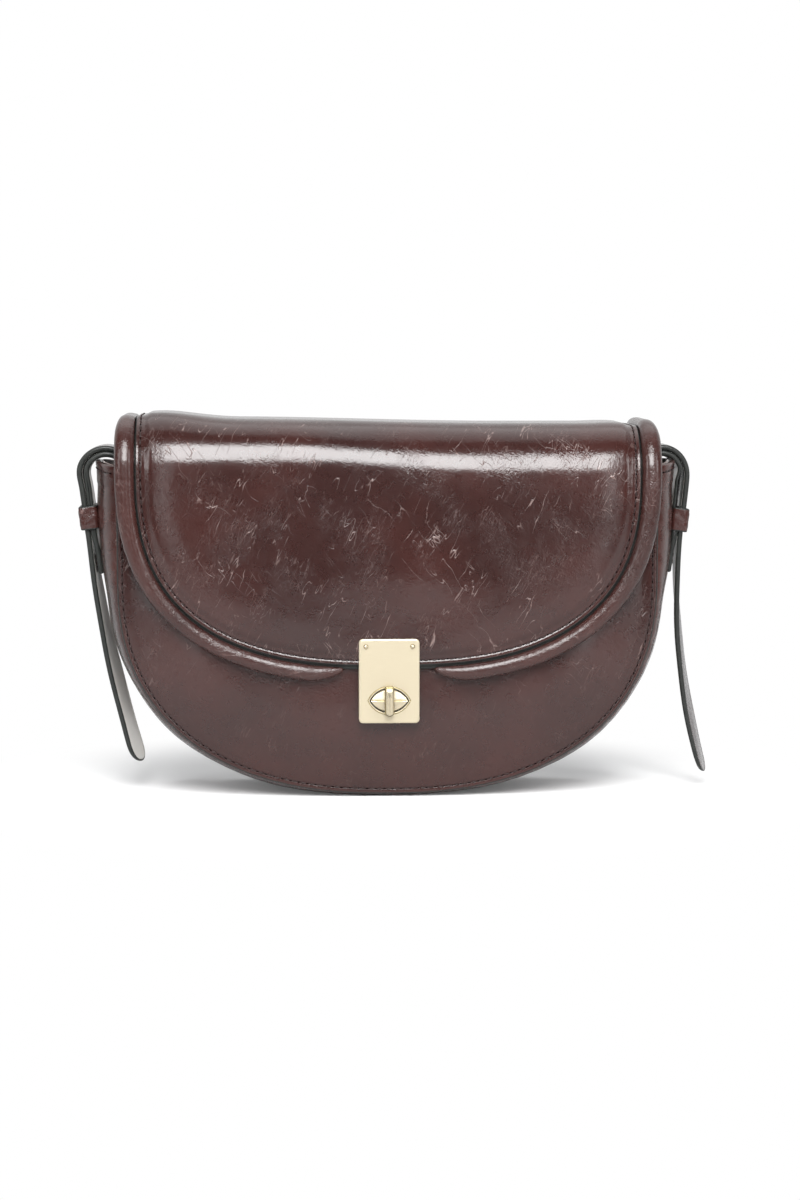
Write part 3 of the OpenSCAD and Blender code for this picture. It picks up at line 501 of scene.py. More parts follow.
for name, side, top in (("front", -1, MOUTH_Z), ("back", 1, BACK_TOP_Z)):
    place = wall_place(side, BODY_HALF_D, top)
    straight = top - BELLY_Z
    cut = cut_panel(BODY_HALF_W, straight, PANEL_T, BELLY_DROP, BELLY_POWER)
    leather_wall = sew_panel(name + "_leather", cut, place, body_swell, (wall_leather, edge_paint),
                             shift=300 * side)
    row = stitch_row(*seam_path(BODY_HALF_W, straight, BELLY_DROP, BELLY_POWER, SEAM_INSET, 2.0))

    def seam_place(x, length, height):
        return place(x, length, height + body_swell(x, length, SEAM_INSET, 1))

    seam = sew_stitches(name + "_seam", [row], seam_place, 0.05)
    for piece, node, slot in ((leather_wall, "_panel", "glazed_leather"), (seam, "_stitching", "thread")):
        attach(piece, "bag")
        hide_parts(name + node)


# Gusset. One long strip of softer hide runs down one side, under the bag and up the other. It bulges past
# both panels, is sewn to them through a turned-in flange, and is folded over into a hem at both mouths.
GUSSET_HALF = 27.9
GUSSET_T = 1.6
GUSSET_END_ROUND = 0.9
HEM_DEPTH = 9.0
HEM_SEAM = 3.2
BULGE_FLOOR, BULGE_SIDE, BULGE_MOUTH = 2.6, 3.4, 4.0
MOUTH_RISE = 2.0

gusset_hide = make_leather("gusset_hide", (0.022, 0.008, 0.007), (0.045, 0.0135, 0.0105), (0.2, 0.13, 0.12),
                           1.2, 0.6)


def bulge_at(z):
    """How far the gusset's middle stands out at a height: a base, a root of the height, its fourth power
    and 1.5 mm more below the keepers."""
    share = np.clip(z / MOUTH_Z, 0, 1)
    side = 1.5 * ease((z - 82) / 20) * (1 - ease((z - 118) / 22))
    return BULGE_FLOOR + BULGE_SIDE * np.sqrt(share) + BULGE_MOUTH * share ** 4 + side


side_run = MOUTH_Z - BELLY_Z
belly_x, belly_down, belly_out_x, belly_out_down = half_moon(BODY_HALF_W, BELLY_DROP, BELLY_POWER, 1.0)
belly_run = run_along(belly_x, belly_down)
gusset_run = 2 * side_run + belly_run[-1]
line_s = np.r_[0, side_run + belly_run, gusset_run]
line_x = np.r_[-BODY_HALF_W, belly_x, BODY_HALF_W]
line_z = np.r_[MOUTH_Z, BELLY_Z - belly_down, MOUTH_Z]
line_nx = np.r_[-1, belly_out_x, 1]
line_nz = np.r_[0, -belly_out_down, 0]


def gusset_place(y, s, height):
    """Places the gusset: s runs along the body's outline from the left mouth, y across. It stands out by
    the bulge there times (1 minus (y / half) squared) to the power 0.62, with shallow puckers. It rests
    flat on the floor, and its mouth rises in the middle."""
    z = np.interp(s, line_s, line_z)
    share = np.clip(np.abs(y) / GUSSET_HALF, 0, 1)
    puckers = 0.3 * np.sin(s / 1.55 + 1.4 * np.sin(s / 7.3) + y / 19) * share ** 6 * (1 - share ** 12)
    folds = 0.5 * np.sin(s / 11 + y / 14) * np.sin(s / 23 - y / 31) * (1 - share ** 2)
    out = bulge_at(z) * (1 - share ** 2) ** 0.62 + height + puckers + folds
    x = np.interp(s, line_s, line_x) + out * np.interp(s, line_s, line_nx)
    z = z + out * np.interp(s, line_s, line_nz) + MOUTH_RISE * ease((z - 125) / 18) * (1 - share ** 2)
    return np.stack([x, y, np.maximum(z, np.where(height < -1, GUSSET_T, 0.0))], -1)


def half_round(share):
    """Height of a quarter circle: the root of 1 minus (1 minus share) squared."""
    return np.sqrt(1 - (1 - np.clip(share, 0, 1)) ** 2)


def gusset_sheet(half, outer, thickness, hem, pitch):
    """The gusset laid out: a grid with s along it and y across, denser near both rims as y = half
    sin(angle). Its thickness shrinks to nothing at both ends in a half round, and is doubled over the
    hem's depth."""
    turn = np.radians(np.linspace(0, 90, 5))
    end = np.r_[GUSSET_END_ROUND * (1 - np.cos(turn)), np.arange(2.0, HEM_DEPTH + 3, 0.8)]
    middle = np.linspace(end[-1], gusset_run - end[-1], int(gusset_run / pitch))
    s = np.r_[end[:-1], middle, gusset_run - end[::-1][1:]]
    off_end = np.minimum(s, gusset_run - s)
    y = half * np.sin(np.radians(np.linspace(-90, 90, 45)))
    doubled = hem * (1 - ease((off_end - HEM_DEPTH + 1) / 1.5))
    thick = thickness + doubled
    swell = 0.35 * doubled * (1 - np.exp(-((off_end - HEM_SEAM) / 0.6) ** 2))
    rim = np.sqrt(np.clip(1 - (np.abs(y) / half) ** 16, 0, 1))
    half_t = np.outer(half_round(off_end / GUSSET_END_ROUND) * thick / 2, rim)
    grid_y, grid_s = np.meshgrid(y, s)
    flat, quads = [], []
    for face in (1, -1):
        height = outer - thick[:, None] / 2 + face * half_t + (face > 0) * np.outer(swell, rim)
        quads.append(grid_quads(*height.shape, len(flat) * height.size)[:, ::face])
        flat.append(np.stack([grid_y, grid_s, height], -1).reshape(-1, 3))
    return np.concatenate(flat), np.concatenate(quads)


lining_felt = make_solid("lining_suede", (0.085, 0.047, 0.036), (0.13, 0.075, 0.06), 900, (0.8, 0.95),
                         0.00008, sheen=0.4)

for name, node, half, outer, thickness, hem, finish, slot, pitch in (
        ("gusset_leather", "gusset", GUSSET_HALF, 0.0, GUSSET_T, 0.9, gusset_hide, "gusset_leather", 1.6),
        ("gusset_suede", "gusset_lining", 26.0, -2.65, 0.8, 0.0, lining_felt, "lining_leather", 4.0)):
    flat, quads = gusset_sheet(half, outer, thickness, hem, pitch)
    y, s, height = flat.T
    layout = np.stack([y, -s, np.zeros_like(s)], -1)
    strip = weld(name, gusset_place(y, s, height), quads, (finish,), layout)
    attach(strip, "bag")
    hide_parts(node)

hem_y = np.linspace(-GUSSET_HALF + 1.5, GUSSET_HALF - 1.5, 200)
hem_rows = [stitch_row(hem_y, np.full(200, s)) for s in (HEM_SEAM, gusset_run - HEM_SEAM)]
hem_seam = sew_stitches("gusset_hem_seam", hem_rows, gusset_place, 0.12)
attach(hem_seam, "bag")


# Wall linings. Over each board a suede sheet is glued, flush with the mouth and 1.7 mm inside the edge.
LINING_INSET = 1.7
LINING_FACE_Y = 27.4
THIN_MARGIN = (1.0, 3.0, 8.0)


def no_swell(x, length, far, face):
    """Nothing is added."""
    return 0 * x


for side, node, top in ((-1, "front_lining", MOUTH_Z), (1, "back_lining", BACK_TOP_Z)):
    cut = cut_panel(BODY_HALF_W - LINING_INSET, top - BELLY_Z, 1.0, BELLY_DROP - LINING_INSET, BELLY_POWER,
                    THIN_MARGIN, 5.0, 6.0, 8, 0.4)
    suede = sew_panel(node + "_suede", cut, wall_place(side, LINING_FACE_Y, top), no_swell,
                      (lining_felt, edge_paint))
    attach(suede, "bag")
    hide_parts(node)

# Boards. Grey fibre board stiffens both walls. It is cut in the frame, and only its finish is made here.
board_fibre = make_solid("board_fibre", (0.3, 0.27, 0.23), (0.42, 0.39, 0.34), 700, (0.8, 0.95), 0.0001)


def finish_nodes(nodes, finish):
    """Gives frame pieces that keep their shape their finish."""
    for node in nodes:
        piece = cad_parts[node]
        piece.data.materials.clear()
        piece.data.materials.append(finish)


finish_nodes(("front_board", "back_board"), board_fibre)


# Flap. An upper panel with a painted edge lies on a base layer and a lining. All three come up from a
# strip sewn to the back panel, bend over the mouth and hang down the front. The leather bends at the rear
# and front folds.
FLAP_HALF_W = 108.3
FLAP_DROP = 84.5
FLAP_POWER = 2.62
REAR_BEND_R, FRONT_BEND_R = 14.0, 20.0
HINGE_Y, HINGE_Z = 30.6, 148.0
FOLD_Y, FOLD_Z = -35.4, 142.0
TOP_Z = 162.0
REAR_BEND_Y, FRONT_BEND_Y = 16.6, -15.4
REAR_BEND_L = REAR_BEND_R * math.pi / 2
TOP_L = REAR_BEND_L + REAR_BEND_Y - FRONT_BEND_Y
FOLD_L = TOP_L + FRONT_BEND_R * math.pi / 2
MIDDLE_L = REAR_BEND_L + 16
STRIP_L = 17.0
STRIP_STAND = 1.95
FLAP_FACE = 0.4


def to_right(x):
    """Share that grows from 0 left of the flap's middle to 1 right of it."""
    return ease((x + 58) / 92)


def settle(x, length):
    """How far the flap's top rises or sinks: it stands up against the left roll, sinks by 1.2 mm 45 mm
    inside it, by 3.3 mm right of the middle and by 2.3 mm at the right roll. It fades out towards the
    rear fold and round the front bend, on the right lower than on the left."""
    across = 2.4 * ease((x + 110.5) / 4) - 3.6 * ease((x + 108) / 45) - 2.1 * ease((x + 70) / 120)
    across = across + ease((x - 85) / 20)
    low = ease((length - FOLD_L + 31 - 17 * to_right(x)) / (22 + 12 * to_right(x)))
    return across * ease(length / 22) * (1 - low)


def flap_place(x, length, height):
    """Places the flap's flat layout. Length 0 is at the rear fold. Below it the strip swings outwards past
    the back panel. Above it come a quarter bend of 14 mm, the flat top, a quarter bend of 20 mm and the
    front. Height is measured outwards from the middle of the roll. The front is a little wavy, and the top
    settles."""
    rear = length / REAR_BEND_R
    front = (length - TOP_L) / FRONT_BEND_R
    down = length - FOLD_L
    strip_y = HINGE_Y + STRIP_STAND * ease(-length / 8) + height
    parts = [length < 0, length < REAR_BEND_L, length < TOP_L, length < FOLD_L]
    y = np.select(parts, [strip_y, REAR_BEND_Y + (REAR_BEND_R + height) * np.cos(rear),
                          REAR_BEND_Y - (length - REAR_BEND_L),
                          FRONT_BEND_Y - (FRONT_BEND_R + height) * np.sin(front)], FOLD_Y - height)
    z = np.select(parts, [HINGE_Z + length, HINGE_Z + (REAR_BEND_R + height) * np.sin(rear), TOP_Z + height,
                          FOLD_Z + (FRONT_BEND_R + height) * np.cos(front)], FOLD_Z - down)
    pillow = (0.2 + 1.2 * to_right(x)) * ease((down + 20) / 34) * (1 - ease((down - 44) / 30))
    waves = 0.3 * np.sin(x / 19 + length / 37) * np.sin(length / 21 - x / 47 + 0.6)
    waves = (waves + 0.2 * np.sin(x / 33 - length / 13)) * ease((down + 20) / 40)
    return np.stack([x, y - pillow - waves, z + settle(x, length)], -1)


def flap_swell(x, length, far, face):
    """A groove at the seam, a low margin, and inside it padding that lifts the upper panel by 0.8 mm at
    once and by another 1.3 mm times 1 minus (1 minus distance inside 3.6 / 16) squared. A quarter of that
    is left beside the lock plate, and none on the strip behind."""
    crown = 1.3 * (1 - np.clip(1 - (far - 3.6) / 16, 0, 1) ** 2) * (far > 3.6) * ease((length + 4) / 12)
    by_plate = (1 - ease((np.abs(x) - 16) / 22)) * ease((length - FOLD_L - 35) / 30)
    return (seam_groove(far) + 0.8 * ease((far - 3.6) / 3) + crown * (1 - 0.75 * by_plate)) * (face > 0)


REAR_BLEND = ("bag", "flap_top", (0, 0.0306, 0.1435), (0, 0.0306, 0.1545))
FRONT_BLEND = ("flap_top", "flap_front", (0, -0.0354, 0.147), (0, -0.0354, 0.135))
# The base layer is finished all over in black edge paint, as painted shade in the gap between the upper
# panel's edge and the roll.
for name, face_height, thickness, wider, margin, swell, finish, rear_start, pitch, slot in (
        ("panel", FLAP_FACE, 1.8, 0.0, MARGIN, flap_swell, glazed, -STRIP_L, 2.2, "glazed_leather"),
        ("base", -1.4, 1.35, 1.6, THIN_MARGIN, no_swell, edge_paint, -4.0, 4.0, "glazed_leather"),
        ("lining", -2.8, 0.8, 0.0, THIN_MARGIN, no_swell, lining_felt, -4.0, 4.0, "lining_leather")):
    half, drop = FLAP_HALF_W + wider, FLAP_DROP + wider
    lower = cut_panel(half, FOLD_L - MIDDLE_L, thickness, drop, FLAP_POWER, margin, pitch, 1.7, upper="cut")
    upper = cut_panel(half, MIDDLE_L - rear_start, thickness, margin=margin, row_pitch=1.7, lower="cut",
                      columns=2 * int(round(half / pitch)))
    for cut, start, blend_at, part, node in ((upper, rear_start, REAR_BLEND, "_over", "_top"),
                                             (lower, MIDDLE_L, FRONT_BLEND, "_down", "_front")):
        cut[0][:, 1] += start
        cut[0][:, 2] += face_height
        piece = sew_panel("flap_" + name + part, cut, flap_place, swell, (finish, edge_paint))
        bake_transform(piece)
        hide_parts("flap_" + name + node)

# The flap's seam. It is in two meshes that meet at the middle of the top and leaves the lock plate's place
# free. A straight row sews the flap's strip to the back panel.
PLATE_HALF_W = 13.0
path_x, path_l = seam_path(FLAP_HALF_W, FOLD_L + STRIP_L, FLAP_DROP, FLAP_POWER, SEAM_INSET, 2.0)
path_l = path_l - STRIP_L
clear_of_plate = (np.abs(path_x) >= PLATE_HALF_W + 0.3) | (path_l <= FOLD_L + 30)
seam_height = FLAP_FACE + float(flap_swell(0, 0, SEAM_INSET, 1)) + 0.05
strip_x = np.linspace(-FLAP_HALF_W + 5, FLAP_HALF_W - 5, 200)
strip_row = stitch_row(strip_x, np.full(200, SEAM_INSET - STRIP_L))
for name, keep, more, blend_at, node in (
        ("flap_seam_over", path_l <= MIDDLE_L, [strip_row], REAR_BLEND, "flap_stitching_top"),
        ("flap_seam_down", path_l > MIDDLE_L, [], FRONT_BLEND, "flap_stitching_front")):
    halves = [keep & clear_of_plate & (path_x < 0), keep & clear_of_plate & (path_x > 0)]
    seam = sew_stitches(name, [stitch_row(path_x[half], path_l[half]) for half in halves] + more, flap_place,
                        seam_height)
    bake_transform(seam)
    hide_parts(node)


# Padded roll. A tube of thin leather over a filler cord is sewn in along the flap's rim. It is 8 mm thick
# at the sides and 7 mm below, narrows to nothing beside the lock plate, and starts just above the rear
# fold.
ROLL_R, ROLL_LOW_R, ROLL_TIP_R = 4.3, 3.5, 0.9
ROLL_GAP, ROLL_LOW_GAP = 0.2, 0.9
ROLL_TIP_X = 19.0
ROLL_TIP_L = 17.0
ROLL_REAR_L = 8.0
ROLL_SIDES = 28
ROLL_PITCH = 0.8
ROLL_FLATNESS = 0.84

roll_leather = make_leather("roll_leather", (0.023, 0.0085, 0.0074), (0.042, 0.0128, 0.0103),
                            (0.16, 0.1, 0.09), 1.8, 0.6, coat_rough=0.24)

rim_x, rim_down, rim_out_x, rim_out_down = half_moon(FLAP_HALF_W, FLAP_DROP, FLAP_POWER, ROLL_PITCH)
on_roll = rim_x < -ROLL_TIP_X
straight_l = np.arange(ROLL_REAR_L, FOLD_L, ROLL_PITCH)
roll_x = np.r_[np.full(len(straight_l), -FLAP_HALF_W), rim_x[on_roll]]
roll_l = np.r_[straight_l, FOLD_L + rim_down[on_roll]]
roll_out_x = np.r_[np.full(len(straight_l), -1.0), rim_out_x[on_roll]]
roll_out_l = np.r_[np.zeros(len(straight_l)), rim_out_down[on_roll]]
roll_run = run_along(roll_x, roll_l)

# Its radius goes from the side's to the lower edge's, then falls with the square of the way to the tip. It
# is 18 % less above the front bend. Both ends are half round, and fine sine waves crinkle the leather.
low_share = np.clip((roll_l - FOLD_L) / FLAP_DROP, 0, 1)
to_tip = np.clip((roll_run - roll_run[-1] + ROLL_TIP_L) / ROLL_TIP_L, 0, 1)
roll_r = ROLL_R + (ROLL_LOW_R - ROLL_R) * np.minimum(1, low_share / 0.85)
roll_r = roll_r * (1 - to_tip ** 2) + ROLL_TIP_R * to_tip ** 2
roll_r = roll_r * (1 - 0.18 * ease((FOLD_L - 14 - roll_l) / 20))
roll_shape = roll_r * half_round(roll_run / 7) * half_round((roll_run[-1] - roll_run) / 2)
turn = np.arange(ROLL_SIDES) * 2 * np.pi / ROLL_SIDES
run = roll_run[:, None]
crinkle = (0.03 * np.sin(run / 0.62 + 2.2 * np.sin(run / 5) + 0.9 * np.cos(turn))
           + 0.04 * np.sin(run / 1.3 + 3 * np.sin(run / 9) - 1.3 * np.sin(turn)))
crinkle = crinkle * (0.35 + 0.65 * ease(np.sin(run / 13 + turn) + 0.3))
round_r = roll_shape[:, None] * (1 + crinkle / ROLL_R)
round_r[[0, -1]] = 0

# Each ring is a slightly squared circle, cos and sin to the power 0.94, flattened to 0.84 of its width.
centre_off = ROLL_GAP + (ROLL_LOW_GAP - ROLL_GAP) * low_share + roll_r
full_cos, full_sin = (np.sign(part) * np.abs(part) ** 0.94 for part in (np.cos(turn), np.sin(turn)))
out = centre_off[:, None] + round_r * full_cos
tube = np.stack([roll_x[:, None] + out * roll_out_x[:, None], roll_l[:, None] + out * roll_out_l[:, None],
                 ROLL_FLATNESS * round_r * full_sin], -1).reshape(-1, 3)
tube_layout = np.stack([*np.broadcast_arrays(turn * ROLL_R, run), 0 * out], -1).reshape(-1, 3)
tube_quads = ring_quads(round_r, False)
both = np.concatenate([tube, tube * (-1, 1, 1)])
roll = weld("flap_roll", flap_place(*both.T), np.concatenate([tube_quads, tube_quads[:, ::-1] + len(tube)]),
            (roll_leather,), np.concatenate([tube_layout, tube_layout + (60, 400, 0)]), sharp=180)
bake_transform(roll)
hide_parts("flap_roll_top", "flap_roll_front", "flap_cord_top", "flap_cord_front")


# Lock plate, with two pins. A pale gold plate with a bevelled face is clamped over the flap's lower
# middle. A hole shaped like an eye lets the boss through. The plate behind the lining, the pins and the
# clip keep their shape.
BRUSHED = (1, 1, 6)
gold = make_solid("pale_gold", (0.52, 0.455, 0.33), (0.48, 0.415, 0.29), 300, (0.18, 0.26), 0.000004, 0.75,
                  BRUSHED)
plate_gold = make_solid("satin_gold", (0.495, 0.435, 0.315), (0.475, 0.415, 0.3), 300, (0.34, 0.4), 0.000003,
                        0.45, BRUSHED)
# Painted shade: a darker, browner gold laid on grooves, gaps and bevels round the lock, where shade falls.
painted_shade_gold = make_solid("painted_shade_gold", (0.33, 0.27, 0.14), (0.26, 0.21, 0.1), 300, (0.3, 0.4), 0.000003,
                         0.8, BRUSHED)
steel = make_solid("lock_steel", (0.6, 0.6, 0.6), (0.5, 0.5, 0.5), 400, (0.3, 0.45), 0.00001, 1.0)
finish_nodes(("plate_pins",), gold)
finish_nodes(("lock_washer", "knob_clip", "lock_back_plate"), steel)

PLATE_LOW_Z, PLATE_HIGH_Z = 33.1, 69.4
PLATE_CORNER = 1.8
PLATE_FRONT_Y, PLATE_BACK_Y = -38.0, -32.6
PLATE_SHEET = 1.2
PLATE_BEVEL = 0.6
FLAP_FACE_Y = -35.8
FLAP_LOW_Z = 57.5
LOCK_Z = 42.9
EYE_W, EYE_H = 16.8, 10.6


def eye_edge(width, height, angle):
    """Distance from the middle of a pointed oval to its edge, where two arcs meet at both sides, at an
    angle. Each arc has the radius (width squared + height squared) / (4 height)."""
    radius = (width ** 2 + height ** 2) / (4 * height)
    sink = radius - height / 2
    s = np.abs(np.sin(angle))
    return -sink * s + np.sqrt(np.maximum(radius ** 2 - sink ** 2 * (1 - s ** 2), 0))


def plate_edge(inset, angle):
    """The point where a ray from the eye's middle meets the plate's outline, with round corners, moved in
    by inset. The ray meets a side first, and inside a corner's square it meets the corner's circle."""
    r = max(PLATE_CORNER - inset * 0.5, 0.3)
    half_w, low, high = PLATE_HALF_W - inset, PLATE_LOW_Z - LOCK_Z + inset, PLATE_HIGH_Z - LOCK_Z - inset
    dx, dz = np.cos(angle), np.sin(angle)
    reach = np.minimum(half_w / np.maximum(np.abs(dx), 1e-9),
                       np.where(dz > 0, high, -low) / np.maximum(np.abs(dz), 1e-9))
    x, z = reach * dx, reach * dz
    cx, cz = np.sign(x) * (half_w - r), np.where(z > 0, high - r, low + r)
    in_corner = (np.abs(x) > half_w - r) & np.where(z > 0, z > high - r, z < low + r)
    along = cx * dx + cz * dz
    gap = np.maximum(along ** 2 - (cx ** 2 + cz ** 2 - r ** 2), 0)
    reach = np.where(in_corner, along + np.sqrt(gap), reach)
    return reach * dx, reach * dz


sides_at = (PLATE_HALF_W, -PLATE_HALF_W)
corner_angles = [math.atan2(z - LOCK_Z, x) for z in (PLATE_HIGH_Z, PLATE_LOW_Z) for x in sides_at]
flap_angles = [math.atan2(FLAP_LOW_Z + more - LOCK_Z, x) for x in sides_at for more in (0.35, 0.45)]
angles = np.r_[np.linspace(-np.pi, np.pi, 160, endpoint=False), flap_angles,
               *[a + np.linspace(-0.1, 0.1, 13) for a in corner_angles]]
angles = np.unique(np.round((angles + np.pi) % (2 * np.pi) - np.pi, 6))


def plate_ring(inset, y):
    """The plate's outline, moved in by inset, at a depth."""
    x, z = plate_edge(inset, angles)
    return np.stack([x, np.broadcast_to(y, x.shape), LOCK_Z + z], -1)


def eye_ring(inset, y, width=EYE_W, height=EYE_H, at=angles):
    """The eye's outline, moved in by inset, at a depth."""
    reach = eye_edge(width - 2 * inset, height - 2 * inset, at)
    return np.stack([reach * np.cos(at), np.full(len(at), y), LOCK_Z + reach * np.sin(at)], -1)


# The plate's rings run from its rim's back over the bevel and the face to a bead round the eye, through
# the hole and back inside the rim. Each has an inset and a depth behind the plate's front. The rim is cut
# out for the flap.
_, rim_z = plate_edge(0, angles)
rim_back = np.where(rim_z + LOCK_Z > FLAP_LOW_Z + 0.4, FLAP_FACE_Y + 0.1, PLATE_BACK_Y)
outer_rings = ((0, 0.4), (0.12, 0.22), (PLATE_BEVEL - 0.1, 0.04), (PLATE_BEVEL + 0.1, 0),
               (PLATE_BEVEL + 0.6, 0))
eye_rings = ((-1.3, 0), (-0.95, 0), (-0.85, -0.12), (-0.5, -0.2), (-0.1, -0.12), (0, 0.1), (0, PLATE_SHEET))
rings = [plate_ring(0, rim_back), *(plate_ring(inset, PLATE_FRONT_Y + y) for inset, y in outer_rings),
         *(eye_ring(inset, PLATE_FRONT_Y + y) for inset, y in eye_rings),
         plate_ring(PLATE_SHEET, PLATE_FRONT_Y + PLATE_SHEET), plate_ring(PLATE_SHEET, rim_back)]
# Painted shade: the slopes of the bead round the eye and the hole's wall get the darker gold.
SHADED_PLATE_RINGS = (7, 8, 10, 11, 12)
ring_finish = np.isin(np.arange(len(rings)), SHADED_PLATE_RINGS).astype(int)
plate = weld("lock_cover", np.concatenate(rings), ring_quads(rings), (plate_gold, painted_shade_gold),
             finish_of=np.repeat(ring_finish, len(angles)), sharp=24)
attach(plate, "flap_front")
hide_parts("lock_plate")


# Boss and turn knob. The eye-shaped boss is riveted to the front wall and stands in the plate's hole. Its
# face is two slopes that meet in a scored line. A bar on a shaft turns in front of it.
BOSS_W, BOSS_H = 15.8, 9.6
BOSS_RIDGE_Y, BOSS_RIM_Y = -38.8, -37.8
FLANGE_Y, FLANGE_BACK_Y = -31.1, -30.3
FLANGE_LAP = 3.0

# The face is a grid over shares of the eye's half width and of the height that its arc has there.
u = np.sin(np.radians(np.linspace(-90, 90, 49)))
v = np.r_[0, 0.035, np.linspace(0.06, 0.8, 8), 0.9, 0.96, 1]
v = np.r_[-v[:0:-1], v]
boss_radius = (BOSS_W ** 2 + BOSS_H ** 2) / (4 * BOSS_H)
half_height = np.sqrt(np.maximum(boss_radius ** 2 - (u * BOSS_W / 2) ** 2, 0)) - (boss_radius - BOSS_H / 2)
face_z = half_height[:, None] * v[None, :]
face_y = BOSS_RIDGE_Y + (BOSS_RIM_Y - BOSS_RIDGE_Y) * np.abs(face_z) / (BOSS_H / 2)
face_y += 0.22 * np.exp(-(face_z / 0.22) ** 2) + 0.3 * np.clip(np.abs(v) * 8 - 7, 0, 1) ** 2
face = np.stack([np.repeat(u[:, None] * BOSS_W / 2, len(v), 1), face_y, LOCK_Z + face_z], -1)
foot = face.copy()
foot[..., 1] = FLANGE_Y
wall_rings = [np.concatenate([part[:, 0], part[::-1, -1]]) for part in (face, foot)]
grid = grid_quads(len(u), len(v))
wall_quads = ring_quads(wall_rings, False) + 2 * face_z.size
# Painted shade: the scored line and the boss's side wall, which stands in the gap inside the plate's hole,
# get the darker gold.
scored_line_shade = np.tile(np.abs(v[:-1] + v[1:]) < 0.1, len(u) - 1).astype(int)
boss = weld("lock_boss", np.concatenate([face.reshape(-1, 3), foot.reshape(-1, 3), *wall_rings]),
            np.concatenate([grid, grid[:, ::-1] + face_z.size, wall_quads]), (plate_gold, painted_shade_gold),
            finish_of=np.r_[scored_line_shade, 0 * scored_line_shade, np.ones(len(wall_quads), int)], sharp=20)
at = np.linspace(-np.pi, np.pi, 96, endpoint=False)
flange_rings = [eye_ring(inset - FLANGE_LAP, y, BOSS_W, BOSS_H, at) for inset, y in (
    (0, FLANGE_BACK_Y), (0, FLANGE_Y + 0.25), (0.25, FLANGE_Y), (2.9, FLANGE_Y), (2.9, FLANGE_BACK_Y))]
flange = weld("lock_flange", np.concatenate(flange_rings), ring_quads(flange_rings), (gold,), sharp=30)
for piece in (boss, flange):
    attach(piece, "bag")
    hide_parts("lock_base")

KNOB_HALF_W, KNOB_HALF_L = 2.0, 6.5
KNOB_BACK_Y, KNOB_FRONT_Y = -39.1, -43.1
KNOB_CORNER = 0.7
SHAFT_R = 1.5
SHAFT_FRONT_Y, SHAFT_BACK_Y = -39.3, -27.6


def bar_ring(inset, y, top_inset=None):
    """Outline of the bar, moved in by inset: straight sides, a half-round lower end, a nearly square top."""
    w = KNOB_HALF_W - inset
    low = np.radians(np.linspace(180, 360, 17))
    corner = np.radians(np.linspace(0, 90, 5))
    r = min(KNOB_CORNER, w)
    high = KNOB_HALF_L - (inset if top_inset is None else top_inset) - r
    x = np.r_[w * np.cos(low), w - r + r * np.cos(corner), -w + r - r * np.sin(corner)]
    z = np.r_[-KNOB_HALF_L + KNOB_HALF_W + w * np.sin(low), high + r * np.sin(corner),
              high + r * np.cos(corner)]
    return np.stack([x, np.full(len(x), y), LOCK_Z + z], -1)


knob_rings = [bar_ring(1.9, KNOB_BACK_Y, 5), bar_ring(0.5, KNOB_BACK_Y), bar_ring(0.15, KNOB_BACK_Y - 0.15),
              bar_ring(0, KNOB_BACK_Y - 0.5), bar_ring(0, KNOB_FRONT_Y + 1.2, 0.1),
              bar_ring(0.3, KNOB_FRONT_Y + 0.5, 1.1), bar_ring(0.55, KNOB_FRONT_Y + 0.1, 1.7),
              bar_ring(0.7, KNOB_FRONT_Y, 1.9), bar_ring(1.9, KNOB_FRONT_Y, 5)]
shaft_turn = np.radians(np.arange(0, 360, 15))
shaft_steps = ((0, SHAFT_FRONT_Y), (SHAFT_R, SHAFT_FRONT_Y), (SHAFT_R, SHAFT_BACK_Y), (0, SHAFT_BACK_Y))
shaft_rings = [np.stack([r * np.cos(shaft_turn), np.full(24, y), LOCK_Z + r * np.sin(shaft_turn)], -1)
               for r, y in shaft_steps]
bar_quads, shaft_quads = ring_quads(knob_rings, False), ring_quads(shaft_rings, False)
# Painted shade: the bar's sides and the bevels into its front get the darker gold.
SHADED_BAR_RINGS = (2, 3, 4)
bar_rows = np.isin(np.arange(len(knob_rings) - 1), SHADED_BAR_RINGS).astype(int)
bar_finish = np.repeat(bar_rows, len(knob_rings[0]))
knob_quads = np.concatenate([bar_quads, shaft_quads + len(knob_rings) * len(knob_rings[0])])
knob = weld("knob_bar", np.concatenate([*knob_rings, *shaft_rings]), knob_quads, (gold, painted_shade_gold),
            finish_of=np.r_[bar_finish, np.zeros(len(shaft_quads), int)], sharp=35)
work = bmesh.new()
work.from_mesh(knob.data)
bmesh.ops.holes_fill(work, edges=[e for e in work.edges if e.is_boundary], sides=0)
bmesh.ops.recalc_face_normals(work, faces=work.faces)
work.to_mesh(knob.data)
work.free()
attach(knob, "knob")
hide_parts("turn_knob")


# Straps. Each end of the shoulder strap, 18 mm wide with black painted edges, comes over the gusset's top
# on a tab. The tab is sewn to the gusset outside and holds a buckle inside. The rest is stowed in the bag.
STRAP_HALF_W, STRAP_T = 9.0, 2.4
STRAP_MARGIN = (0.9, 1.2, 1.45, 1.6, 1.75, 1.9, 2.2, 2.8, 4.0, 6.0)
STRAP_EDGE = 0.9
STRAP_GAP = 0.1
BEND_X, BEND_Z = 121.9, 138.5
TAB_R, STRAP_R = 9.2, 11.8
STRAP_LEAN = math.radians(6.9)
STRAP_RUN, FOLD_STAND, SPLICE_RUN = 24.0, 1.5, 15.0
PIVOT = np.array([114.9, 124.0])
FAR_BAR = np.array([110.1, 105.0])
WIRE_R = 1.25
LOOP_R = 2.6
HUG_X, HUG_RIGHT, HUG_LEFT = 112, 0.913, 0.8

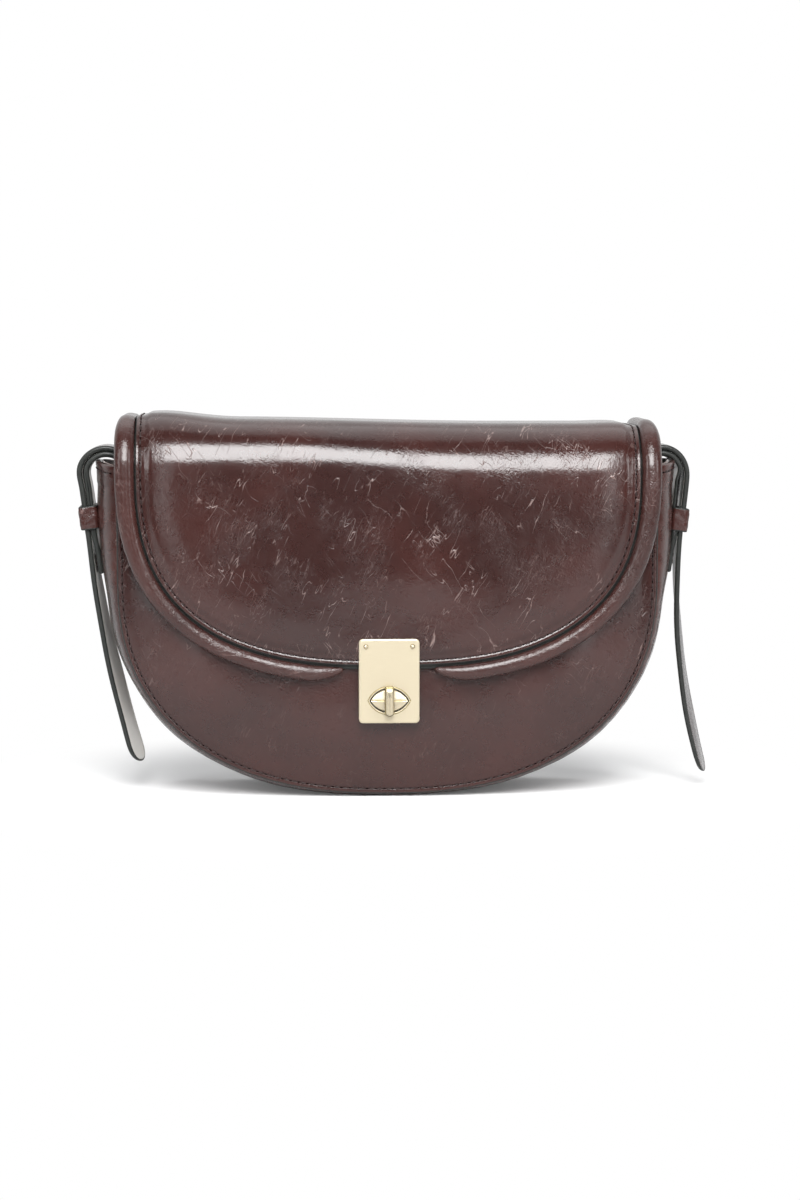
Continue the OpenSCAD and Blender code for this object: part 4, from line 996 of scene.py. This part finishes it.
# The strap's back is pale grey: the flesh side's own colour, made lighter as painted reflection of the white
# room.
strap_back_and_sheen = make_solid("strap_back_and_sheen", (0.58, 0.56, 0.525), (0.66, 0.64, 0.6), 500, (0.3, 0.42), 0.00004,
                        coat=0.4)
strap_hide = make_leather("strap_hide", (0.018, 0.008, 0.007), (0.034, 0.012, 0.01), (0.08, 0.05, 0.045),
                          0.4, 0.3)
strap_finishes = (strap_hide, edge_paint, strap_back_and_sheen)


def bend_point(r, angle):
    """A point of the bend over the gusset's top, at an angle from the outward direction."""
    return np.stack([BEND_X + r * np.cos(angle), BEND_Z + r * np.sin(angle)], -1)


def run_point(r, length):
    """A point of the straight run, the given length below the bend, leaning towards the bag."""
    return bend_point(r, -STRAP_LEAN) - length * np.array([math.sin(STRAP_LEAN), math.cos(STRAP_LEAN)])


def smooth_path(points, step=0.6, passes=12):
    """The same line at even steps, with its corners softened by repeated averaging of neighbours."""
    for _ in range(2):
        run = run_along(*points.T)
        at = np.linspace(0, run[-1], int(run[-1] / step) + 1)
        points = np.stack([np.interp(at, run, points[:, k]) for k in (0, 1)], -1)
        for _ in range(passes):
            points[1:-1] = (points[:-2] + 2 * points[1:-1] + points[2:]) / 4
    return points


def band_place(path, side):
    """Places a flat band along a line drawn in outward distance and height: length runs along the line,
    and height stands out to its left as it runs upwards outside the bag. Side is -1 for the left end of
    the bag."""
    run = run_along(*path.T)
    ahead = np.gradient(path, run, axis=0)
    ahead /= np.linalg.norm(ahead, axis=1)[:, None]

    def place(x, length, height):
        s = np.clip(length, 0, run[-1])
        u, z = (np.interp(s, run, path[:, k]) for k in (0, 1))
        du, dz = (np.interp(s, run, ahead[:, k]) for k in (0, 1))
        return hug(np.stack([side * (u + height * dz), x, z - height * du], -1))

    return place, run[-1]


def hug(points):
    """The bands lie closer to the gusset. On the right the distance past 112 mm from the middle is 0.913 of
    itself. On the left they move in by up to 0.8 mm round the keeper."""
    x, y, z = np.moveaxis(points, -1, 0)
    inwards = HUG_LEFT * ease((144 - z) / 12) * (1 - ease((108 - z) / 48)) * (x < -HUG_X)
    return np.stack([np.where(x > HUG_X, HUG_X + (x - HUG_X) * HUG_RIGHT, x + inwards), y, z], -1)


def cut_band(length, row_pitch):
    """A straight band with both ends square, laid out round its middle, the third finish on its back."""
    return with_back(cut_panel(STRAP_HALF_W, length, STRAP_T, margin=STRAP_MARGIN, row_pitch=row_pitch,
                               edge=STRAP_EDGE, lower="edge", columns=6))


def with_back(cut):
    """The same cut piece, its height measured from its middle, with the third finish on its inner face
    inside a painted border of 1.3 mm."""
    flat, quads, paint = cut
    flat[:, 2] += STRAP_T / 2
    far, face = flat[quads, 3].mean(1), flat[quads, 4].mean(1)
    return flat, quads, np.where(paint | ((face < 0) & (far < 1.3)), 1, 2 * (face < 0))


def strap_swell(x, length, far, face):
    """A pressed line 1.6 mm inside both edges, a slightly crowned middle and slow waves."""
    pressed = -0.16 * np.exp(-((far - 1.6) / 0.28) ** 2)
    return pressed + 0.18 * ease((far - 1.6) / 7) + 0.12 * np.sin(length / 6.5 + x / 5)


bend_angle = np.linspace(-STRAP_LEAN, math.pi, 40)
seat_low, seat_high = BELLY_Z + 2, BELLY_Z + 8
low_x, high_x = (BODY_HALF_W + float(bulge_at(z)) + STRAP_T / 2 + 0.1 for z in (seat_low, seat_high))
tab_path = smooth_path(np.concatenate([
    [[low_x - 0.3, seat_low - 1.5], [low_x, seat_low], [high_x, seat_high], run_point(TAB_R, STRAP_RUN)],
    bend_point(TAB_R, bend_angle), [[BEND_X - TAB_R, PIVOT[1] + 2.5]]]), passes=10)
past_bar = FAR_BAR[0] + WIRE_R + 1.4
to_bar = [[BEND_X - STRAP_R, PIVOT[1] - LOOP_R], [past_bar, FAR_BAR[1] + WIRE_R],
          [past_bar, FAR_BAR[1] - WIRE_R]]
strap_half = np.concatenate([[run_point(STRAP_R, SPLICE_RUN)], bend_point(STRAP_R, bend_angle), to_bar])
stow_x, stow_down, _, _ = half_moon(BODY_HALF_W, BELLY_DROP, BELLY_POWER, 2.0, 6.0)
stowed = np.stack([stow_x, BELLY_Z - stow_down], -1)
stowed = stowed[stowed[:, 1] < BELLY_Z - 3]
strap_path = smooth_path(np.concatenate([strap_half * (-1, 1), stowed, strap_half[::-1]]), passes=8)

place, length = band_place(strap_path, 1)
strap = sew_panel("shoulder_band", cut_band(length, 1.2), lambda x, l, h: place(x, l, -h), strap_swell,
                  strap_finishes)
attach(strap, "bag")
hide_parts("shoulder_strap")

# The tabs are thicker on their inner side where the keepers slide. Their box seams lie near the low ends.
BOX_HALF_W = 6.7
BOX_LOW_L, BOX_HIGH_L = 3.2, 8.2
box_x = BOX_HALF_W * np.array([-1, 1, 1, -1, -1])
box_l = np.array([BOX_LOW_L, BOX_LOW_L, BOX_HIGH_L, BOX_HIGH_L, BOX_LOW_L])
for name, side, doubled in (("left", -1, 0.3), ("right", 1, 1.6)):
    place, length = band_place(tab_path, side)

    def tab_swell(x, length, far, face):
        between = ease((length - 14) / 8) * (1 - ease((length - 40) / 8))
        return strap_swell(x, length, far, face) - doubled * between * (face < 0)

    tab = sew_panel("tab_band_" + name, cut_band(length, 0.8), place, tab_swell, strap_finishes,
                    shift=90 * side)
    seam = sew_stitches("tab_seam_" + name, [stitch_row(box_x, box_l, 2.9)], place, STRAP_T / 2)
    for piece, node, slot in ((tab, "tab_", "glazed_leather"), (seam, "tab_stitching_", "thread")):
        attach(piece, "bag")
        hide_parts(node + name)


# Belt ends. Below its keeper each end of the strap hangs free with a rounded tip. The left one leans
# towards the bag as it falls and the right one swings away from it, and both turn a little about their
# length.
FOLD_POINT = run_point(STRAP_R, STRAP_RUN + FOLD_STAND)
TIP_POWER = 2.3


def tail_place(side, full, lean_top, lean_tip, twist):
    """Places a flat band along an arc that starts at the fold and leans from one angle to another towards
    the bag. Its width turns about the arc by twist times the sine of a quarter turn's share of the
    length."""
    def place(x, length, height):
        share = np.clip(length, 0, None) / full
        lean = np.radians(lean_top + (lean_tip - lean_top) * share)
        top = math.radians(lean_top)
        rate = math.radians(lean_tip - lean_top) / full
        up = np.minimum(length, 0)
        turn = np.radians(twist * np.sin(np.radians(90 * np.clip(share, 0, 1))))
        out = x * np.sin(turn) + height * np.cos(turn)
        u = FOLD_POINT[0] + (np.cos(lean) - math.cos(top)) / rate - up * math.sin(top) + out * np.cos(lean)
        z = FOLD_POINT[1] - (np.sin(lean) - math.sin(top)) / rate - up * math.cos(top) + out * np.sin(lean)
        return hug(np.stack([side * u, x * np.cos(turn) - height * np.sin(turn), z], -1))
    return place


over = STRAP_RUN + FOLD_STAND - SPLICE_RUN
for name, side, full, lean_top, lean_tip, twist in (("left", -1, 102.0, 9.0, 16.0, -17.0),
                                                    ("right", 1, 107.0, 3.5, -17.5, 20.0)):
    cut = cut_panel(STRAP_HALF_W, over + full - STRAP_HALF_W, STRAP_T, STRAP_HALF_W, TIP_POWER, STRAP_MARGIN,
                    0.8, 1.2, 7, STRAP_EDGE)
    cut[0][:, 1] -= over
    tail = sew_panel("belt_end_" + name, with_back(cut), tail_place(side, full, lean_top, lean_tip, twist),
                     strap_swell, strap_finishes, shift=150 * side)
    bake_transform(tail)
    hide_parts("tail_" + name)


# Keepers. A loop of the same hide, 10 mm long, goes round the tab and the strap and slides on them.
KEEPER_HALF_L, KEEPER_T = 5.15, 1.2
KEEPER_PLAY = 0.3
KEEPER_ROUND = 0.6
KEEPER_SEAM = 3.7
KEEPER_RISE = 3.0
RIGHT_KEEPER_DROP = 1.5
keeper_in_u, keeper_in_y = STRAP_T + STRAP_GAP + KEEPER_PLAY, STRAP_HALF_W + KEEPER_PLAY
keeper_hide = make_leather("keeper_hide", (0.024, 0.009, 0.008), (0.048, 0.0145, 0.0115), (0.22, 0.14, 0.13),
                           1.5, 1.4)
keeper_centre = run_point((TAB_R + STRAP_R) / 2, STRAP_RUN - KEEPER_RISE + FOLD_STAND - KEEPER_HALF_L)
along = np.array([math.sin(STRAP_LEAN), math.cos(STRAP_LEAN)])
across = np.array([along[1], -along[0]])


def round_corners(half_a, half_b, radius, count):
    """Points of a round-cornered rectangle's four corners in turn, and their outward directions."""
    turn = np.radians(np.concatenate([start + np.linspace(0, 90, count) for start in (0, 90, 180, 270)]))
    side_a, side_b = np.repeat([[1, -1, -1, 1], [1, 1, -1, -1]], count, axis=1)
    return np.stack([side_a * (half_a - radius) + radius * np.cos(turn),
                     side_b * (half_b - radius) + radius * np.sin(turn), np.cos(turn), np.sin(turn)], -1)


# The strip's section is a crowned outer line with a pressed line near both rims, which are half round. It
# is carried round the loop.
loop = round_corners(keeper_in_u, keeper_in_y, KEEPER_ROUND, 7)
loop = np.concatenate([np.linspace(p, q, 9)[:-1] for p, q in zip(loop, np.roll(loop, -1, 0))])
loop_run = run_along(*loop[:, :2].T)
flat_a = np.linspace(-KEEPER_HALF_L + KEEPER_ROUND, KEEPER_HALF_L - KEEPER_ROUND, 13)
crowned = KEEPER_T + 0.22 * np.cos(1.5 * flat_a / flat_a[-1])
pressed = 0.12 * np.exp(-((np.abs(flat_a) - KEEPER_SEAM) / 0.3) ** 2)
rim_turn = np.radians(np.linspace(-90, 90, 7))
rim_a = flat_a[-1] + KEEPER_ROUND * np.cos(rim_turn)
rim_stand = KEEPER_T / 2 * (1 + np.sin(rim_turn))
profile_a = np.r_[flat_a, rim_a[::-1][1:], -rim_a[:-1]]
profile_stand = np.r_[crowned - pressed, rim_stand[::-1][1:], rim_stand[:-1]]
stand = profile_stand + 0.1 * np.sin(loop_run[:, None] / 1.7 + profile_a) * (profile_stand > 1)
ring_u = loop[:, None, 0] + stand * loop[:, None, 2]
ring_y = loop[:, None, 1] + stand * loop[:, None, 3]
painted = np.tile(np.arange(len(profile_a)) >= len(flat_a) - 1, len(loop)).astype(int)
for name, side, lower in (("left", -1, 0.0), ("right", 1, RIGHT_KEEPER_DROP)):
    u = keeper_centre[0] + ring_u * across[0] + profile_a * along[0]
    z = keeper_centre[1] + ring_u * across[1] + profile_a * along[1] - lower
    points = hug(np.stack([side * u, ring_y, z], -1))
    layout = np.stack([*np.broadcast_arrays(loop_run[:, None] + 40 * side, profile_a), 0 * u], -1)
    keeper = weld("keeper_loop_" + name, points.reshape(-1, 3), ring_quads(points),
                  (keeper_hide, edge_paint), layout.reshape(-1, 3), painted)
    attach(keeper, "keeper_" + name)
    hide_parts("keeper_" + name)


# Buckles. Each is a rounded frame of pale gold wire inside the mouth, held in the tab's loop, with a
# tapered prong that turns on its upper bar and rests on the far bar.
BUCKLE_HALF_W = 11.5
BUCKLE_CORNER = 3.0
PRONG_EYE_R, PRONG_EYE_WIRE_R = 2.15, 0.8
PRONG_START = PIVOT + (-1.6, 0)
PRONG_END = FAR_BAR + (-WIRE_R - 1.0, -2.5)
PRONG_R, PRONG_TAPER = 0.95, 0.35


def wire_tube(path, radius, sides=16, closed=False):
    """A round tube along a line of points in space, its rings square to it. Its radius may vary."""
    ahead = np.roll(path, -1, 0) - np.roll(path, 1, 0) if closed else np.gradient(path, axis=0)
    ahead /= np.linalg.norm(ahead, axis=1)[:, None]
    flat_normal = np.cross(ahead, np.roll(ahead, -1, 0)).sum(0) if closed else np.array([0.0, 1.0, 0.0])
    flat_normal /= np.linalg.norm(flat_normal)
    beside = np.cross(ahead, flat_normal)
    turn = np.arange(sides) * 2 * np.pi / sides
    r = np.broadcast_to(radius, len(path))[:, None, None]
    ring = np.cos(turn)[:, None] * beside[:, None] + np.sin(turn)[:, None] * flat_normal
    return path[:, None] + r * ring


span = FAR_BAR - PIVOT
buckle_l = float(np.hypot(*span))
frame_y, frame_s, _, _ = round_corners(BUCKLE_HALF_W, buckle_l / 2, BUCKLE_CORNER, 9).T
frame_u, frame_z = ((PIVOT + FAR_BAR) / 2)[:, None] + frame_s * span[:, None] / buckle_l
prong_s = np.linspace(0, 1, 24)
prong_u, prong_z = PRONG_START[:, None] + (PRONG_END - PRONG_START)[:, None] * prong_s
prong_r = PRONG_R - PRONG_TAPER * prong_s
prong_r[0] = prong_r[-1] = 0
prong_r[-2] *= 0.7
eye_turn = np.radians(np.arange(0, 360, 15))
eye_u, eye_z = PIVOT[0] + PRONG_EYE_R * np.cos(eye_turn), PIVOT[1] + PRONG_EYE_R * np.sin(eye_turn)
for name, side in (("left", -1), ("right", 1)):
    tube = wire_tube(np.stack([side * frame_u, frame_y, frame_z], -1), WIRE_R, closed=True)
    buckle = weld("buckle_wire_" + name, tube.reshape(-1, 3), ring_quads(tube), (gold,))
    rod = wire_tube(np.stack([side * prong_u, 0 * prong_s, prong_z], -1), prong_r)
    eye_tube = wire_tube(np.stack([side * eye_u, 0 * eye_turn, eye_z], -1), PRONG_EYE_WIRE_R, closed=True)
    prong = weld("prong_pin_" + name, np.concatenate([rod.reshape(-1, 3), eye_tube.reshape(-1, 3)]),
                 np.concatenate([ring_quads(rod, False), ring_quads(eye_tube) + rod[..., 0].size]), (gold,))
    for piece, node, body in ((buckle, "buckle_", "bag"), (prong, "prong_", "prong_" + name)):
        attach(piece, body)
        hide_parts(node + name)
